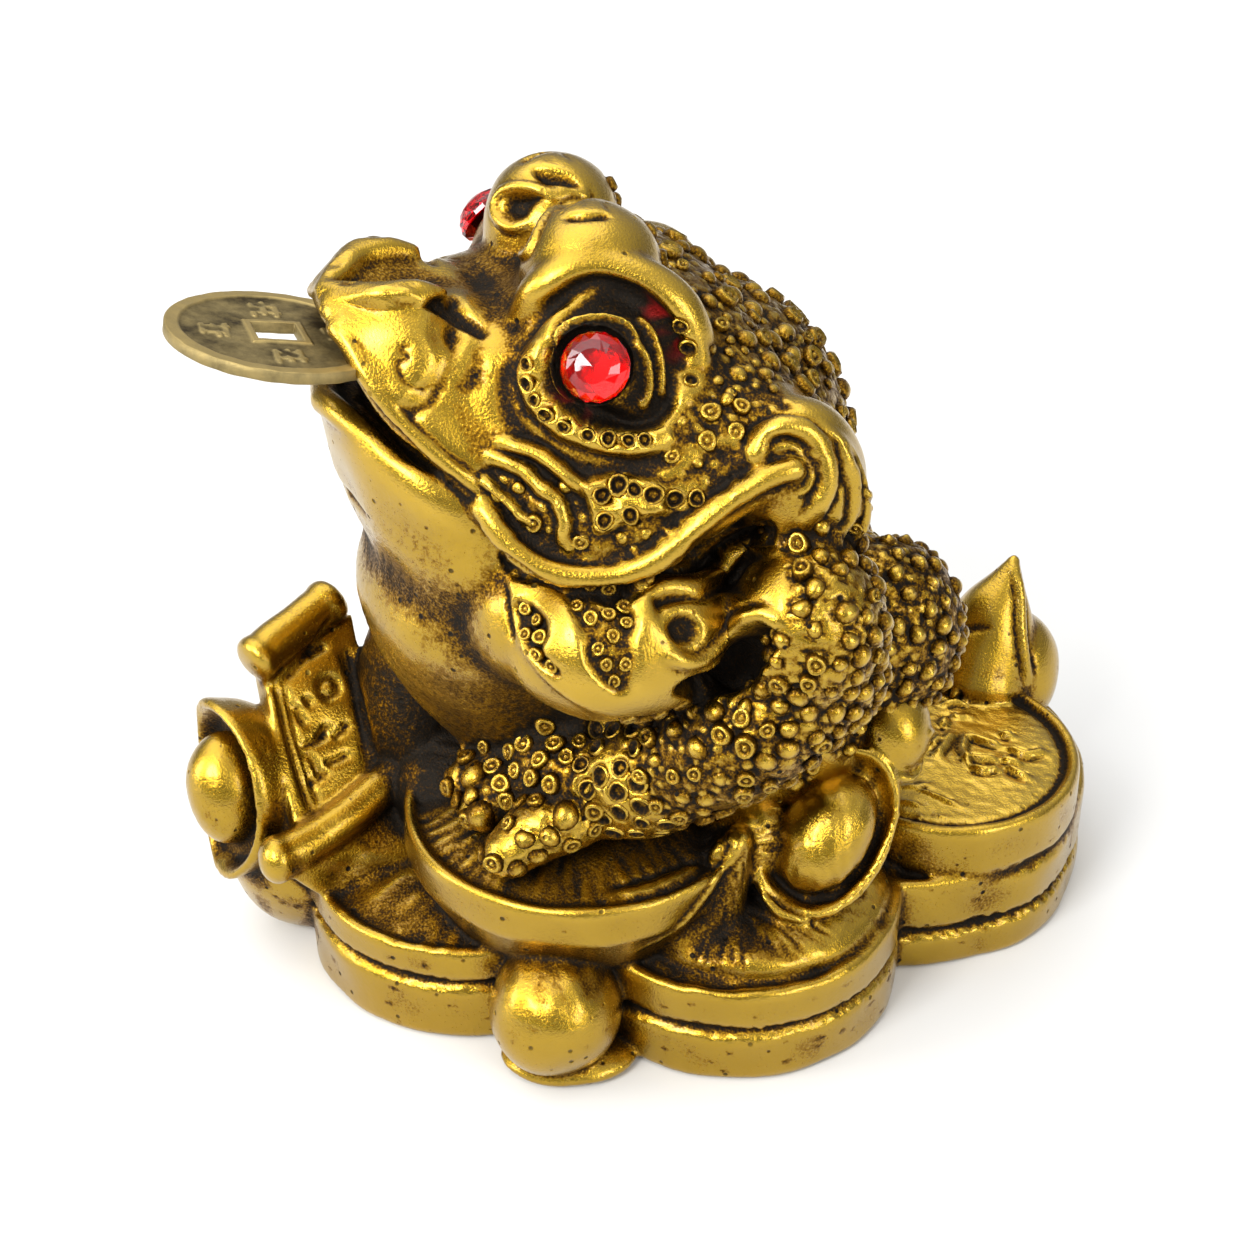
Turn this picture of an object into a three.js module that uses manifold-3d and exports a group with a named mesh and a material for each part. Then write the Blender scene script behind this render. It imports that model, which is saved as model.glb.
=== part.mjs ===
import * as THREE from "three";
import { mergeVertices } from "three/addons/utils/BufferGeometryUtils.js";
import Module from "manifold-3d";

const wasm = await Module();
wasm.setup();
const { Manifold, Mesh } = wasm;

// Driving dimensions, mm. The toad faces -Y, Z is up and the underside is at Z = 0.
const seatHeight = 24; // ground to the face of the coins under the toad's hands
const toadHeight = 74; // that face to the top of the eye mounds
const stackCoin = 6.6; // thickness of one coin in the stacks of the base
const stackGroove = 0.9; // depth and half width of the groove between two coins
const frontStackRadius = 19.5;
const sideStackRadius = 19.6;
const rearStackRadius = 25;
const rearTopCoinRadius = 16.4;
const seatCoinRadius = 20.4;
const seatCoinBand = 5.6; // height of the seat coins' upright edge
const rimWidth = 1.5; // raised rim of a coin's face
const rimDepth = 0.8;
const eggSize = [9.4, 13.4]; // width and length of the egg that sits in an ingot
const smallEggSize = [10, 11];
const ballSize = [13, 13]; // the round one in the ingot between the front stacks
const gemDiameter = 7;
const gemHeight = 3.4;
const gemTable = 0.5; // width of the flat table, as a share of the gem's width
const coinDiameter = 22.6; // loose coin in the mouth
const coinThickness = 1.3;
const coinHole = 4.6; // side of the square hole
const clearance = 0.3; // air between a loose piece and the figure

const v = (x, y, z) => new THREE.Vector3(x, y, z);

// The toad's form keeps its proportions: it is drawn 74 tall on a seat 24 high and scaled from there.
const drawnSeat = 24;
const k = toadHeight / 74;
const onToad = (x, y, z) => v(x * k, y * k, seatHeight + (z - drawnSeat) * k);
const sides = [1, -1];

// A closed geometry as a solid that faces outwards.
function solid(geometry) {
  const bare = geometry.clone();
  bare.deleteAttribute("normal");
  bare.deleteAttribute("uv");
  const merged = mergeVertices(bare, 1e-4);
  const index = merged.index.array;
  const kept = [];
  for (let i = 0; i < index.length; i += 3) {
    const [a, b, c] = [index[i], index[i + 1], index[i + 2]];
    if (a !== b && b !== c && c !== a) kept.push(a, b, c);
  }
  const build = (tris) =>
    new Manifold(
      new Mesh({
        numProp: 3,
        vertProperties: merged.attributes.position.array,
        triVerts: new Uint32Array(tris),
      }),
    );
  const made = build(kept);
  if (made.volume() > 0) return made;
  for (let i = 0; i < kept.length; i += 3) [kept[i], kept[i + 1]] = [kept[i + 1], kept[i]];
  return build(kept);
}

// An egg-shaped form: a sphere stretched to three radii and turned by three angles in degrees.
function blob(center, radii, turn = [0, 0, 0], rows = 6) {
  const g = new THREE.SphereGeometry(1, 2 * rows, rows).rotateX(Math.PI / 2);
  const angles = turn.map((d) => THREE.MathUtils.degToRad(d));
  const place = new THREE.Matrix4().compose(
    center,
    new THREE.Quaternion().setFromEuler(new THREE.Euler(...angles, "ZYX")),
    v(...radii),
  );
  return solid(g.applyMatrix4(place));
}

// Closed skin over a list of rings with the same number of points, with a pole at each end.
function skin(rings, first, last) {
  const n = rings[0].length;
  const points = [first, ...rings.flat(), last];
  const index = [];
  for (let j = 0; j < n; j++) {
    const next = (j + 1) % n;
    index.push(0, 1 + next, 1 + j);
    for (let i = 0; i + 1 < rings.length; i++) {
      const a = 1 + i * n;
      const b = a + n;
      index.push(a + j, a + next, b + j, b + j, a + next, b + next);
    }
    const end = 1 + (rings.length - 1) * n;
    index.push(end + j, end + next, points.length - 1);
  }
  const g = new THREE.BufferGeometry().setFromPoints(points);
  g.setIndex(index);
  return solid(g);
}

// A limb or roll: a round section swept along a smooth curve, with its own radius at each point.
function tube(points, radii, { around = 8, steps = 4, flat = 1, up = v(0, 0, 1) } = {}) {
  const curve = new THREE.CatmullRomCurve3(points, false, "centripetal");
  const count = (points.length - 1) * steps;
  const rings = [];
  const ring = (p, t, r, shift) => {
    const side = new THREE.Vector3().crossVectors(up, t).normalize();
    const top = new THREE.Vector3().crossVectors(t, side);
    const at = p.clone().addScaledVector(t, shift * r);
    const size = Math.sqrt(1 - shift * shift) * r;
    rings.push(
      Array.from({ length: around }, (_, j) => {
        const a = (2 * Math.PI * j) / around;
        return at
          .clone()
          .addScaledVector(side, Math.cos(a) * size)
          .addScaledVector(top, Math.sin(a) * size * flat);
      }),
    );
  };
  const place = (i) => {
    const s = (i / count) * (radii.length - 1);
    const low = Math.min(Math.floor(s), radii.length - 2);
    const r = THREE.MathUtils.lerp(radii[low], radii[low + 1], s - low);
    return [curve.getPoint(i / count), curve.getTangent(i / count), r];
  };
  const start = place(0);
  const end = place(count);
  for (let i = 0; i <= count; i++) ring(...place(i), i === 0 ? -0.3 : i === count ? 0.3 : 0);
  return skin(
    rings,
    start[0].clone().addScaledVector(start[1], -start[2]),
    end[0].clone().addScaledVector(end[1], end[2]),
  );
}

// A round solid turned from a profile of [radius, height] points that runs from axis to axis.
function turned(profile, center, around = 20) {
  const g = new THREE.LatheGeometry(
    profile.map(([r, z]) => new THREE.Vector2(r, z)),
    around,
  );
  return solid(g.rotateX(Math.PI / 2).translate(...center));
}

// Coins laid on one another, with a groove between each two and a raised rim on the top face.
function coinStack(x, y, radius, count, foot = 0) {
  const profile = [[0, foot], [radius, foot]];
  for (let i = 1; i < count; i++) {
    const z = foot + i * stackCoin;
    profile.push([radius, z - stackGroove / 2], [radius - stackGroove, z], [radius, z + stackGroove / 2]);
  }
  const top = foot + count * stackCoin;
  profile.push([radius, top], [radius - rimWidth, top], [radius - rimWidth - 0.5, top - rimDepth], [0, top - rimDepth]);
  return turned(profile, [x, y, 0]);
}

// A boat-shaped ingot: a hull whose rim rises at both ends, with an egg in its middle.
// out is the way it opens, along is its long axis, and lift is how far the ends rise.
function ingot(center, out, along, { length = 12, width = 8, depth = 7, lift = 2, egg = eggSize } = {}) {
  const n = out.clone().normalize();
  const s = new THREE.Vector3().crossVectors(n, along).normalize();
  const t = new THREE.Vector3().crossVectors(s, n);
  const around = 10;
  const at = (angle, size, sink) => {
    const c = Math.cos(angle);
    return center
      .clone()
      .addScaledVector(t, length * size * c)
      .addScaledVector(s, width * size * Math.sin(angle))
      .addScaledVector(n, lift * c * c * size * size - sink);
  };
  const ringOf = (size, sink) =>
    Array.from({ length: around }, (_, j) => at((2 * Math.PI * j) / around, size, sink));
  const dish = depth * 0.25;
  const rings = [ringOf(0.88, dish * 0.5), ringOf(1, 0), ringOf(1, 1)];
  for (const down of [0.4, 0.8]) rings.push(ringOf(Math.sqrt(1 - down * down), 1 + depth * down));
  const hull = skin(rings, at(0, 0, dish), at(0, 0, depth + 1));
  const middle = center.clone().addScaledVector(n, dish * 0.4);
  const ball = new THREE.SphereGeometry(1, 9, 6).rotateX(Math.PI / 2);
  ball.scale(egg[0] / 2, egg[0] / 2, egg[1] / 2);
  ball.applyMatrix4(new THREE.Matrix4().makeBasis(s, n, t)).translate(...middle);
  return [hull, solid(ball)];
}

// Warts on an egg-shaped form: rings of low studs around the way that aim points, out to an angle.
function warts(center, radii, aim, angle, pitch, size) {
  const n = aim.clone().normalize();
  const s = new THREE.Vector3().crossVectors(n, Math.abs(n.z) < 0.9 ? v(0, 0, 1) : v(1, 0, 0)).normalize();
  const t = new THREE.Vector3().crossVectors(s, n);
  const mean = (radii[0] + radii[1] + radii[2]) / 3;
  const step = pitch / mean;
  const studs = [];
  for (let ring = 0; ring * step <= angle; ring++) {
    const polar = ring * step;
    const count = Math.max(1, Math.round((2 * Math.PI * Math.sin(polar)) / step));
    for (let j = 0; j < count; j++) {
      const turn = (2 * Math.PI * (j + 0.5 * (ring % 2))) / count;
      const way = n.clone().multiplyScalar(Math.cos(polar));
      way.addScaledVector(s, Math.sin(polar) * Math.cos(turn));
      way.addScaledVector(t, Math.sin(polar) * Math.sin(turn));
      const at = center.clone().add(way.clone().multiply(v(...radii)));
      const out = way.clone().divide(v(...radii)).normalize();
      const g = new THREE.SphereGeometry(size, 5, 2).scale(1, 0.8, 1);
      g.applyQuaternion(new THREE.Quaternion().setFromUnitVectors(v(0, 1, 0), out)).translate(...at);
      studs.push(solid(g));
    }
  }
  return studs;
}

// Both sides of the toad: the same forms again with X turned over.
const pair = (make) => sides.flatMap((side) => make((x, y, z) => onToad(side * x, y, z), side));
const sized = (radii) => radii.map((r) => r * k);

// The base: coin stacks in a ring, the two seat coins over them, and a core that joins all.
const stackTop = 2 * stackCoin;
const seatAt = [8.7, -13.6]; // centre of the left seat coin
function seatCoin(side) {
  const low = seatHeight - seatCoinBand;
  const r = seatCoinRadius;
  const profile = [[0, stackTop - 2], [r * 0.72, stackTop - 2], [r * 0.8, stackTop], [r - 0.4, low]];
  profile.push([r, low + 0.6], [r, seatHeight - 0.4], [r - 0.4, seatHeight], [r - rimWidth, seatHeight]);
  profile.push([r - rimWidth - 0.6, seatHeight - rimDepth], [0, seatHeight - rimDepth]);
  return turned(profile, [side * seatAt[0], seatAt[1], 0]);
}
const base = [
  coinStack(0, -24.5, frontStackRadius, 2),
  ...sides.map((side) => coinStack(side * 16.4, 2.5, sideStackRadius, 2)),
  coinStack(0, 29, rearStackRadius, 2),
  coinStack(8.6, 32.7, rearTopCoinRadius, 3),
  ...sides.map(seatCoin),
  ...sides.map((side) => turned([[0, 0], [3.5, 0], [3.5, stackTop - 1], [0, stackTop - 1]], [side * 16.6, -16.6, 0], 8)),
  turned([[0, 0], [21, 0], [21, stackTop], [16, seatHeight - 3], [0, seatHeight - 3]], [0, 6, 0], 16),
];

// The ingots, each by its place, the way it opens and its long axis.
const frontIngot = { length: 9.8, width: 8.4, depth: 9, lift: 1, egg: ballSize };
const sideIngot = { length: 12.2, width: 8.5 };
const ingots = [
  ingot(v(25.4, -21.6, 8), v(0.75, -0.62, 0.15), v(-0.3, 0.1, 1), frontIngot),
  ingot(v(24, 10.4, 24), v(0.8, -0.25, 0.55), v(-0.35, 0.55, 0.75), sideIngot),
  ingot(v(13.4, 22.4, 28.6), v(0.6, 0.5, 0.6), v(-0.3, 0.2, 0.9), { length: 6, width: 5.5, egg: smallEggSize }),
  ingot(v(-9.6, -50.8, 21.4), v(0.25, -0.95, 0.15), v(-0.41, 0.45, 0.8), { length: 11, depth: 8 }),
  ingot(v(-4.6, 49.2, 19.6), v(0.5, 0.85, 0.1), v(-0.1, 0.1, 1), { length: 9.6, depth: 8, egg: [10, 14] }),
  ingot(v(-24, 10.4, 24), v(-0.8, -0.25, 0.55), v(0.35, 0.55, 0.75), sideIngot),
  [tube([v(-5, 44, 20), v(-5.6, 46, 28), v(-6.2, 48, 34.3)], [7.5, 4.6, 0.8], { steps: 2 })],
].flat();

// The bill: a tablet between two rolls, leaning back on the front stack.
const billFoot = [v(2, -46.2, 18.7), v(-4, -33.2, 21)];
const billHead = [v(-13, -47, 35.6), v(-17, -36.6, 40.6)];
const billThickness = 3.4;
const billRoll = 2.6;
function slab(corners, thickness) {
  const across = corners[1].clone().sub(corners[0]);
  const normal = across.clone().cross(corners[3].clone().sub(corners[0])).normalize();
  const back = corners.map((p) => p.clone().addScaledVector(normal, -thickness));
  const mid = (ring) => ring.reduce((a, p) => a.add(p), v(0, 0, 0)).multiplyScalar(1 / ring.length);
  return skin([corners, back], mid(corners), mid(back));
}
const bill = [
  slab([billFoot[0], billFoot[1], billHead[1], billHead[0]], billThickness),
  tube(billHead, [billRoll, billRoll], { steps: 1 }),
  tube([v(4, -49, 19), v(1, -42, 18), v(-5, -31, 21.5)], [2, 4.2, 2.4], { steps: 2 }),
  blob(v(-10, -42, 12), [9, 10, 13]),
];

// Trunk and rump, then throat and chest as a skin over ovals, each through a front point and a back point.
const hump = { at: onToad(0, 1, 60), radii: sized([22, 18.5, 22]) };
const chestOvals = [
  { front: [-38, 76], back: [-14, 66], width: 14.5 },
  { front: [-38.2, 73], back: [-12, 62], width: 16.5 },
  { front: [-37.4, 68], back: [-8, 58], width: 17.5 },
  { front: [-35.8, 62], back: [-6, 55], width: 18.5 },
  { front: [-34.2, 56.6], back: [-4, 52], width: 18.5 },
  { front: [-35.8, 50.3], back: [-2, 48], width: 20 },
  { front: [-33.4, 42], back: [0, 42], width: 20.5 },
  { front: [-28, 33], back: [0, 34], width: 19 },
  { front: [-22, 25], back: [0, 25], width: 17 },
];
const ovalRing = ({ front, back, width }) =>
  Array.from({ length: 14 }, (_, j) => {
    const a = (2 * Math.PI * j) / 14;
    const s = (1 + Math.cos(a)) / 2;
    return onToad(width * Math.sin(a), back[0] + (front[0] - back[0]) * s, back[1] + (front[1] - back[1]) * s);
  });
const trunk = [
  blob(onToad(0, -6, 47), sized([25, 23.5, 27]), [0, 0, 0], 7),
  blob(hump.at, hump.radii, [-20, 0, 0], 7),
  skin(chestOvals.map(ovalRing), onToad(0, -26, 71.5), onToad(0, -11, 24)),
  blob(onToad(0, 8, 34), sized([23, 22, 20])),
];

// The head is a skin over cross sections from the snout back. Each half section runs from the crown
// over the crest, the eye, the cheek and the lip to the middle of the palate, as [x, z] points.
const headSections = [
  [-38, [0, 87.5], [1.5, 87.8], [2.6, 87.2], [3, 86.4], [3, 86], [0, 85.4]],
  [-34.8, [0, 87.2], [3.4, 88], [6.4, 86], [8.2, 83.5], [9, 81.6], [0, 84]],
  [-30.5, [0, 87], [5.2, 88.2], [8.6, 85.5], [11.4, 81], [13.2, 76.6], [0, 80]],
  [-26, [0, 86.4], [5.8, 87.2], [10.6, 83.6], [13.8, 78], [16.4, 70.6], [0, 74]],
  [-20, [0, 86.2], [5.6, 86.4], [13.4, 83], [18.4, 76], [21.6, 64.8], [0, 64]],
  [-12, [0, 88.2], [7.4, 88], [16.6, 83.4], [22.6, 74.6], [24.8, 64], [0, 60]],
  [-4, [0, 87.6], [8, 87], [17.6, 82.5], [24, 76], [25.6, 67.4], [0, 60]],
  [4, [0, 84], [8, 83.5], [17, 80.5], [23.6, 78], [25.6, 72], [0, 60]],
  [11, [0, 76], [7, 76], [14, 75], [20, 73], [22, 68], [0, 60]],
];
const sectionRing = ([y, ...half]) => {
  const near = half.map(([x, z]) => onToad(x, y, z));
  const far = half.slice(1, -1).reverse().map(([x, z]) => onToad(-x, y, z));
  return [...near, ...far];
};
const skull = skin(headSections.map(sectionRing), onToad(0, -38.6, 86), onToad(0, 13, 68));

// The snout is a plate with turned-up edges, over the upper lip; below it the jaw ends in its own lip.
const snoutTop = [[0, -37.2, 87.8], [2.4, -35, 88.2], [4.6, -32.4, 88.6], [5.5, -29.2, 88.6], [5.6, -26.6, 87.8]];
const upperLip = [[4.5, -36.3, 85.4], [8, -34.7, 81.8], [10.8, -32.4, 77.8], [13.2, -29.3, 75], [16, -25.8, 70.4]];
const smile = [[16.5, -25.8, 69.6], [20, -22.5, 65.4], [24, -15, 63.6], [25.8, -7.5, 65.8], [26.8, 3, 73.6]];
const lowerLip = [[0, -38, 75.4], [4, -36.8, 75.2], [10.8, -32.6, 72.4], [15, -27.2, 67.2]];
const brow = [[7.8, -19.8, 83.4], [9.8, -17.2, 89.3], [11.2, -11.2, 91.1], [13.2, -4.6, 87.5], [15, -3.5, 79.2]];
const lid = [[15.5, -21, 83.5], [17.3, -20, 80], [20, -15.6, 77.2], [20.8, -8.6, 77.6]];
const earRim = [[25.5, -0.5, 75], [25, 3, 77.8], [26, 8.5, 75.4], [26.5, 11.2, 68], [26, 10.2, 61.5]];
const head = [
  skull,
  ...pair((p, side) => {
    const roll = (path, radii, steps = 1) =>
      tube(path.map((c) => p(...c)), sized(radii), { around: 5, steps, up: v(side, 0, 0.1) });
    return [
      blob(p(6.6, -11, 88.4), sized([7.2, 7.4, 7.6])),
      blob(p(22.5, 5.8, 70.2), sized([5.8, 7, 9.4]), [15, 0, 0]),
      roll(snoutTop, [1, 1.3, 1.3, 1.3, 1]),
      roll(upperLip, [1.3, 1.6, 1.6, 1.6, 1.4]),
      roll(smile, [1.5, 1.7, 1.8, 1.7, 1.5], 2),
      roll(lowerLip, [1.6, 1.4, 1.3, 1.2]),
      roll(brow, [1.8, 2, 2.1, 2, 1.7], 2),
      roll(lid, [1.1, 1.5, 1.6, 1.2], 2),
      roll(earRim, [1.2, 1.5, 1.5, 1.5, 1.2]),
    ];
  }),
];
const elbow = (p) => ({ at: p(28.6, 5, 56), radii: sized([8.8, 8.4, 9.8]) });
const haunch = (p) => ({ at: p(13.5, 20, 41), radii: sized([9.5, 10.5, 13]) });
const limbs = pair((p, side) => [
  blob(p(22, -13, 55), sized([9.4, 12.5, 8.6])),
  blob(elbow(p).at, elbow(p).radii),
  tube([p(28, 7, 50), p(28, -1, 44), p(20, -10, 34), p(16, -16, 30)], sized([7, 7, 6.5, 5]), { steps: 2 }),
  tube([p(20, -16, 30), p(21.5, -22, 28.5), p(21.7, -26, 27)], sized([2.6, 2.6, 1.6]), { around: 5, steps: 1 }),
  tube([p(15, -17, 31), p(14.5, -23, 30), p(13.7, -27.5, 27.5)], sized([2.6, 2.2, 2]), { around: 5, steps: 1 }),
  tube([p(11, -17, 32), p(9.5, -23, 31), p(8.3, -27, 28.5)], sized([2.6, 2.2, 2]), { around: 5, steps: 1 }),
  tube([p(8, -17, 33), p(6, -23, 32), p(4.5, -26, 29.5)], sized([2.6, 2.2, 2]), { around: 5, steps: 1 }),
  blob(haunch(p).at, haunch(p).radii),
]).flat();
// The largest warts only, on the left limbs and the back.
const leftElbow = elbow(onToad);
const leftHaunch = haunch(onToad);
const studs = [
  ...warts(leftElbow.at, leftElbow.radii, v(1, 0.3, 0.4), 0.6, 5 * k, 2 * k),
  ...warts(leftHaunch.at, leftHaunch.radii, v(1, 1.4, 0.4), 0.5, 5.6 * k, 1.9 * k),
  ...warts(hump.at, hump.radii, v(0.3, 1, 0.9), 0.6, 7.4 * k, 2.1 * k),
];

// What is cut away: the ground, the gems' sockets, the open mouth and the coin's slot in it.
const ground = new THREE.BoxGeometry(400, 400, 100).translate(0, 0, -50);
const gemAxis = (side) => v(side * 0.76, -0.4, 0.5).normalize();
const gemPlace = (side, reach) => onToad(side * 17.8, -14.2, 83.9).addScaledVector(gemAxis(side), reach);
function facing(geometry, axis, at) {
  const turn = new THREE.Quaternion().setFromUnitVectors(v(0, 0, 1), axis);
  return geometry.applyQuaternion(turn).translate(...at);
}
const socket = (side) => {
  const deep = gemHeight + 6;
  const g = new THREE.CylinderGeometry(gemDiameter / 2 + clearance, gemDiameter / 2 + clearance, deep, 16);
  return solid(facing(g.rotateX(Math.PI / 2), gemAxis(side), gemPlace(side, deep / 2 - clearance)));
};
const coinAt = onToad(-0.8, -42.1, 83);
const coinPitch = THREE.MathUtils.degToRad(-12);
const coinRoll = THREE.MathUtils.degToRad(-4);
const inMouth = (g) => g.rotateX(coinPitch).rotateY(coinRoll).translate(...coinAt);
const slot = new THREE.CylinderGeometry(coinDiameter / 2 + clearance, coinDiameter / 2 + clearance, coinThickness + 2 * clearance, 32);
const mouth = [[0, -40, 80], [0, -33, 78.5], [0, -24, 73.5]].map((c) => onToad(...c));
const cuts = [
  solid(ground),
  ...sides.map(socket),
  solid(inMouth(slot.rotateX(Math.PI / 2))),
  tube(mouth, sized([6, 9, 11]), { around: 10, steps: 2, flat: 0.26 }),
];
const solids = [...base, ...ingots, ...bill, ...trunk, ...head, ...limbs, ...studs];
const figure = cuts.reduce((rest, cut) => rest.subtract(cut), Manifold.union(solids));

// A gem: a flat back, a steep belt, and a crown cut in facets up to the table.
function gem(side) {
  const r = gemDiameter / 2;
  const around = 10;
  const ringOf = (radius, z, shift) =>
    Array.from({ length: around }, (_, j) => {
      const a = (2 * Math.PI * (j + shift)) / around;
      return v(radius * Math.cos(a), radius * Math.sin(a), z);
    });
  const rings = [
    ringOf(r * 0.8, 0, 0),
    ringOf(r, gemHeight * 0.25, 0),
    ringOf(r, gemHeight * 0.4, 0),
    ringOf(r * 0.8, gemHeight * 0.76, 0.5),
    ringOf(r * gemTable, gemHeight, 0),
  ];
  const turn = new THREE.Quaternion().setFromUnitVectors(v(0, 0, 1), gemAxis(side));
  const put = (p) => p.applyQuaternion(turn).add(gemPlace(side, 0));
  return skin(rings.map((ring) => ring.map(put)), put(v(0, 0, 0)), put(v(0, 0, gemHeight)));
}

// The loose coin: a disc with a square hole.
function looseCoin() {
  const shape = new THREE.Shape().absarc(0, 0, coinDiameter / 2, 0, 2 * Math.PI);
  const h = coinHole / 2;
  const hole = new THREE.Path().moveTo(-h, -h).lineTo(h, -h).lineTo(h, h).lineTo(-h, h).lineTo(-h, -h);
  shape.holes.push(hole);
  const g = new THREE.ExtrudeGeometry(shape, { depth: coinThickness, bevelEnabled: false, curveSegments: 18 });
  return solid(g.translate(0, 0, -coinThickness / 2));
}
const turnIntoMouth = new THREE.Matrix4()
  .makeTranslation(...coinAt)
  .multiply(new THREE.Matrix4().makeRotationY(coinRoll))
  .multiply(new THREE.Matrix4().makeRotationX(coinPitch));

// One solid as a named mesh.
function piece(name, made, color, roughness, metalness) {
  const m = made.getMesh();
  const g = new THREE.BufferGeometry();
  g.setAttribute("position", new THREE.BufferAttribute(new Float32Array(m.vertProperties), 3));
  g.setIndex(new THREE.BufferAttribute(new Uint32Array(m.triVerts), 1));
  const flat = g.toNonIndexed();
  flat.computeVertexNormals();
  const mesh = new THREE.Mesh(flat, new THREE.MeshStandardMaterial({ color, roughness, metalness, flatShading: true }));
  mesh.name = name;
  return mesh;
}

const group = new THREE.Group();
group.add(piece("toad_on_treasure", figure, 0xb8902c, 0.38, 1));
group.add(piece("eye_gem_left", gem(1), 0xc4061a, 0.05, 0));
group.add(piece("eye_gem_right", gem(-1), 0xc4061a, 0.05, 0));
const mouthCoin = piece("mouth_coin", looseCoin(), 0x7a6a3c, 0.5, 1);
mouthCoin.applyMatrix4(turnIntoMouth);
group.add(mouthCoin);
export default group;
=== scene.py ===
import bpy
import numpy as np
from mathutils import Euler, Matrix, Vector
from mathutils.bvhtree import BVHTree
from mathutils.kdtree import KDTree


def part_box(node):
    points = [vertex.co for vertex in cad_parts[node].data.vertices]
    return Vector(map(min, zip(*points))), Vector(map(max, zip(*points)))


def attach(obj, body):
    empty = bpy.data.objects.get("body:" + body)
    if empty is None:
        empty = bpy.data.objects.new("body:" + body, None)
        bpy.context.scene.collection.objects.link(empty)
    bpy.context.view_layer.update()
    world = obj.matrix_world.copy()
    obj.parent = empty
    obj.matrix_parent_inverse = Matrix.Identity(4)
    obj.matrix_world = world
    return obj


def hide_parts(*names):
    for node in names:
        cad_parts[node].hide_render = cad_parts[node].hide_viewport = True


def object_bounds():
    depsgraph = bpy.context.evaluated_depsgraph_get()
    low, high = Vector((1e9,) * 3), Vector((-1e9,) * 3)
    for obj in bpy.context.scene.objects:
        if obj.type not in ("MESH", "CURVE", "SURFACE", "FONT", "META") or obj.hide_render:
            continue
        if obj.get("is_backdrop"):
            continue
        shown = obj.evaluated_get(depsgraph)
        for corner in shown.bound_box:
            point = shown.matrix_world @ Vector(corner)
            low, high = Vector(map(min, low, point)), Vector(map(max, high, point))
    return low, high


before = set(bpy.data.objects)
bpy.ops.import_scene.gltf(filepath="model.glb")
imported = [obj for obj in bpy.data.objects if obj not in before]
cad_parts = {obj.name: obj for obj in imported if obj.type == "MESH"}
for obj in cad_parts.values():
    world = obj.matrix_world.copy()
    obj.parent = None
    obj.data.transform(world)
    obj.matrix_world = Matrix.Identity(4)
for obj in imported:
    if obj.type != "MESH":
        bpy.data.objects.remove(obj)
cadBox = [list(corner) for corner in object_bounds()]
print("frame loaded")

mm = 0.001  # shapes are worked out in millimetres and put into metres at the end

# The photo's camera, from the round edges of the coins: angles in degrees, lengths in mm, focal in pixels.
photo = {"side": 1254, "azimuth": 71.0, "elevation": 34.0, "distance": 272.0,
         "target": (0.0, -5.0, 40.0), "focal": 2366.0, "sensor": 36.0}


def cameraAxes():
    # back points from the target to the camera, right is level, up is their cross product
    a, e = np.radians(photo["azimuth"]), np.radians(photo["elevation"])
    back = np.array([np.sin(a) * np.cos(e), -np.cos(a) * np.cos(e), np.sin(e)])
    right = np.array([np.cos(a), np.sin(a), 0.0])
    return right, np.cross(back, right), back, np.array(photo["target"]) + back * photo["distance"]


camRight, camUp, camBack, camPlace = cameraAxes()


def addCamera():
    # a camera with the photo's place, turn and lens
    data = bpy.data.cameras.new("camera")
    data.sensor_width = photo["sensor"]
    data.lens = photo["sensor"] * photo["focal"] / photo["side"]
    data.clip_start = 0.01
    camera = bpy.data.objects.new("camera", data)
    turn = Matrix((camRight, camUp, camBack)).transposed().to_4x4()
    camera.matrix_world = Matrix.Translation(Vector(camPlace * mm)) @ turn
    bpy.context.scene.collection.objects.link(camera)
    bpy.context.scene.camera = camera


addCamera()


# shape tools
def smoothLine(points, steps=8, closed=False):
    # each stretch is a cubic through its two points, led by the neighbours on both sides
    p = np.asarray(points, float)
    if closed:
        ends = np.vstack([p[-1:], p, p[:2]])
    else:
        ends = np.vstack([2 * p[:1] - p[1:2], p, 2 * p[-1:] - p[-2:-1]])
    a, b, c, d = (ends[i:len(ends) - 3 + i, None] for i in range(4))
    t = np.linspace(0, 1, steps, endpoint=False)[None, :, None]
    line = b + 0.5 * t * (c - a + t * (2 * a - 5 * b + 4 * c - d + t * (3 * b - a - 3 * c + d)))
    line = line.reshape(-1, p.shape[1])
    return line if closed else np.vstack([line, p[-1:]])


def outward(points, tris):
    # the volume under the triangles is positive when they face out
    a, b, c = points[tris[:, 0]], points[tris[:, 1]], points[tris[:, 2]]
    return (points, tris) if np.einsum("ij,ij->i", a, np.cross(b, c)).sum() > 0 else (points, tris[:, ::-1])


def skin(rings, first, last):
    # a grid of rows of points, closed round each row, with a fan to one point at each end
    rows, around = rings.shape[:2]
    points = np.vstack([[first], rings.reshape(-1, 3), [last]])
    j = np.arange(around)
    nextJ = (j + 1) % around
    row = 1 + np.arange(rows - 1)[:, None] * around
    low, lowNext = (row + j).ravel(), (row + nextJ).ravel()
    end = 1 + (rows - 1) * around
    tris = np.vstack([
        np.stack([low, lowNext, low + around], 1),
        np.stack([low + around, lowNext, lowNext + around], 1),
        np.stack([0 * j, 1 + nextJ, 1 + j], 1),
        np.stack([end + j, end + nextJ, 0 * j + len(points) - 1], 1),
    ])
    return outward(points, tris)


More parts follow.
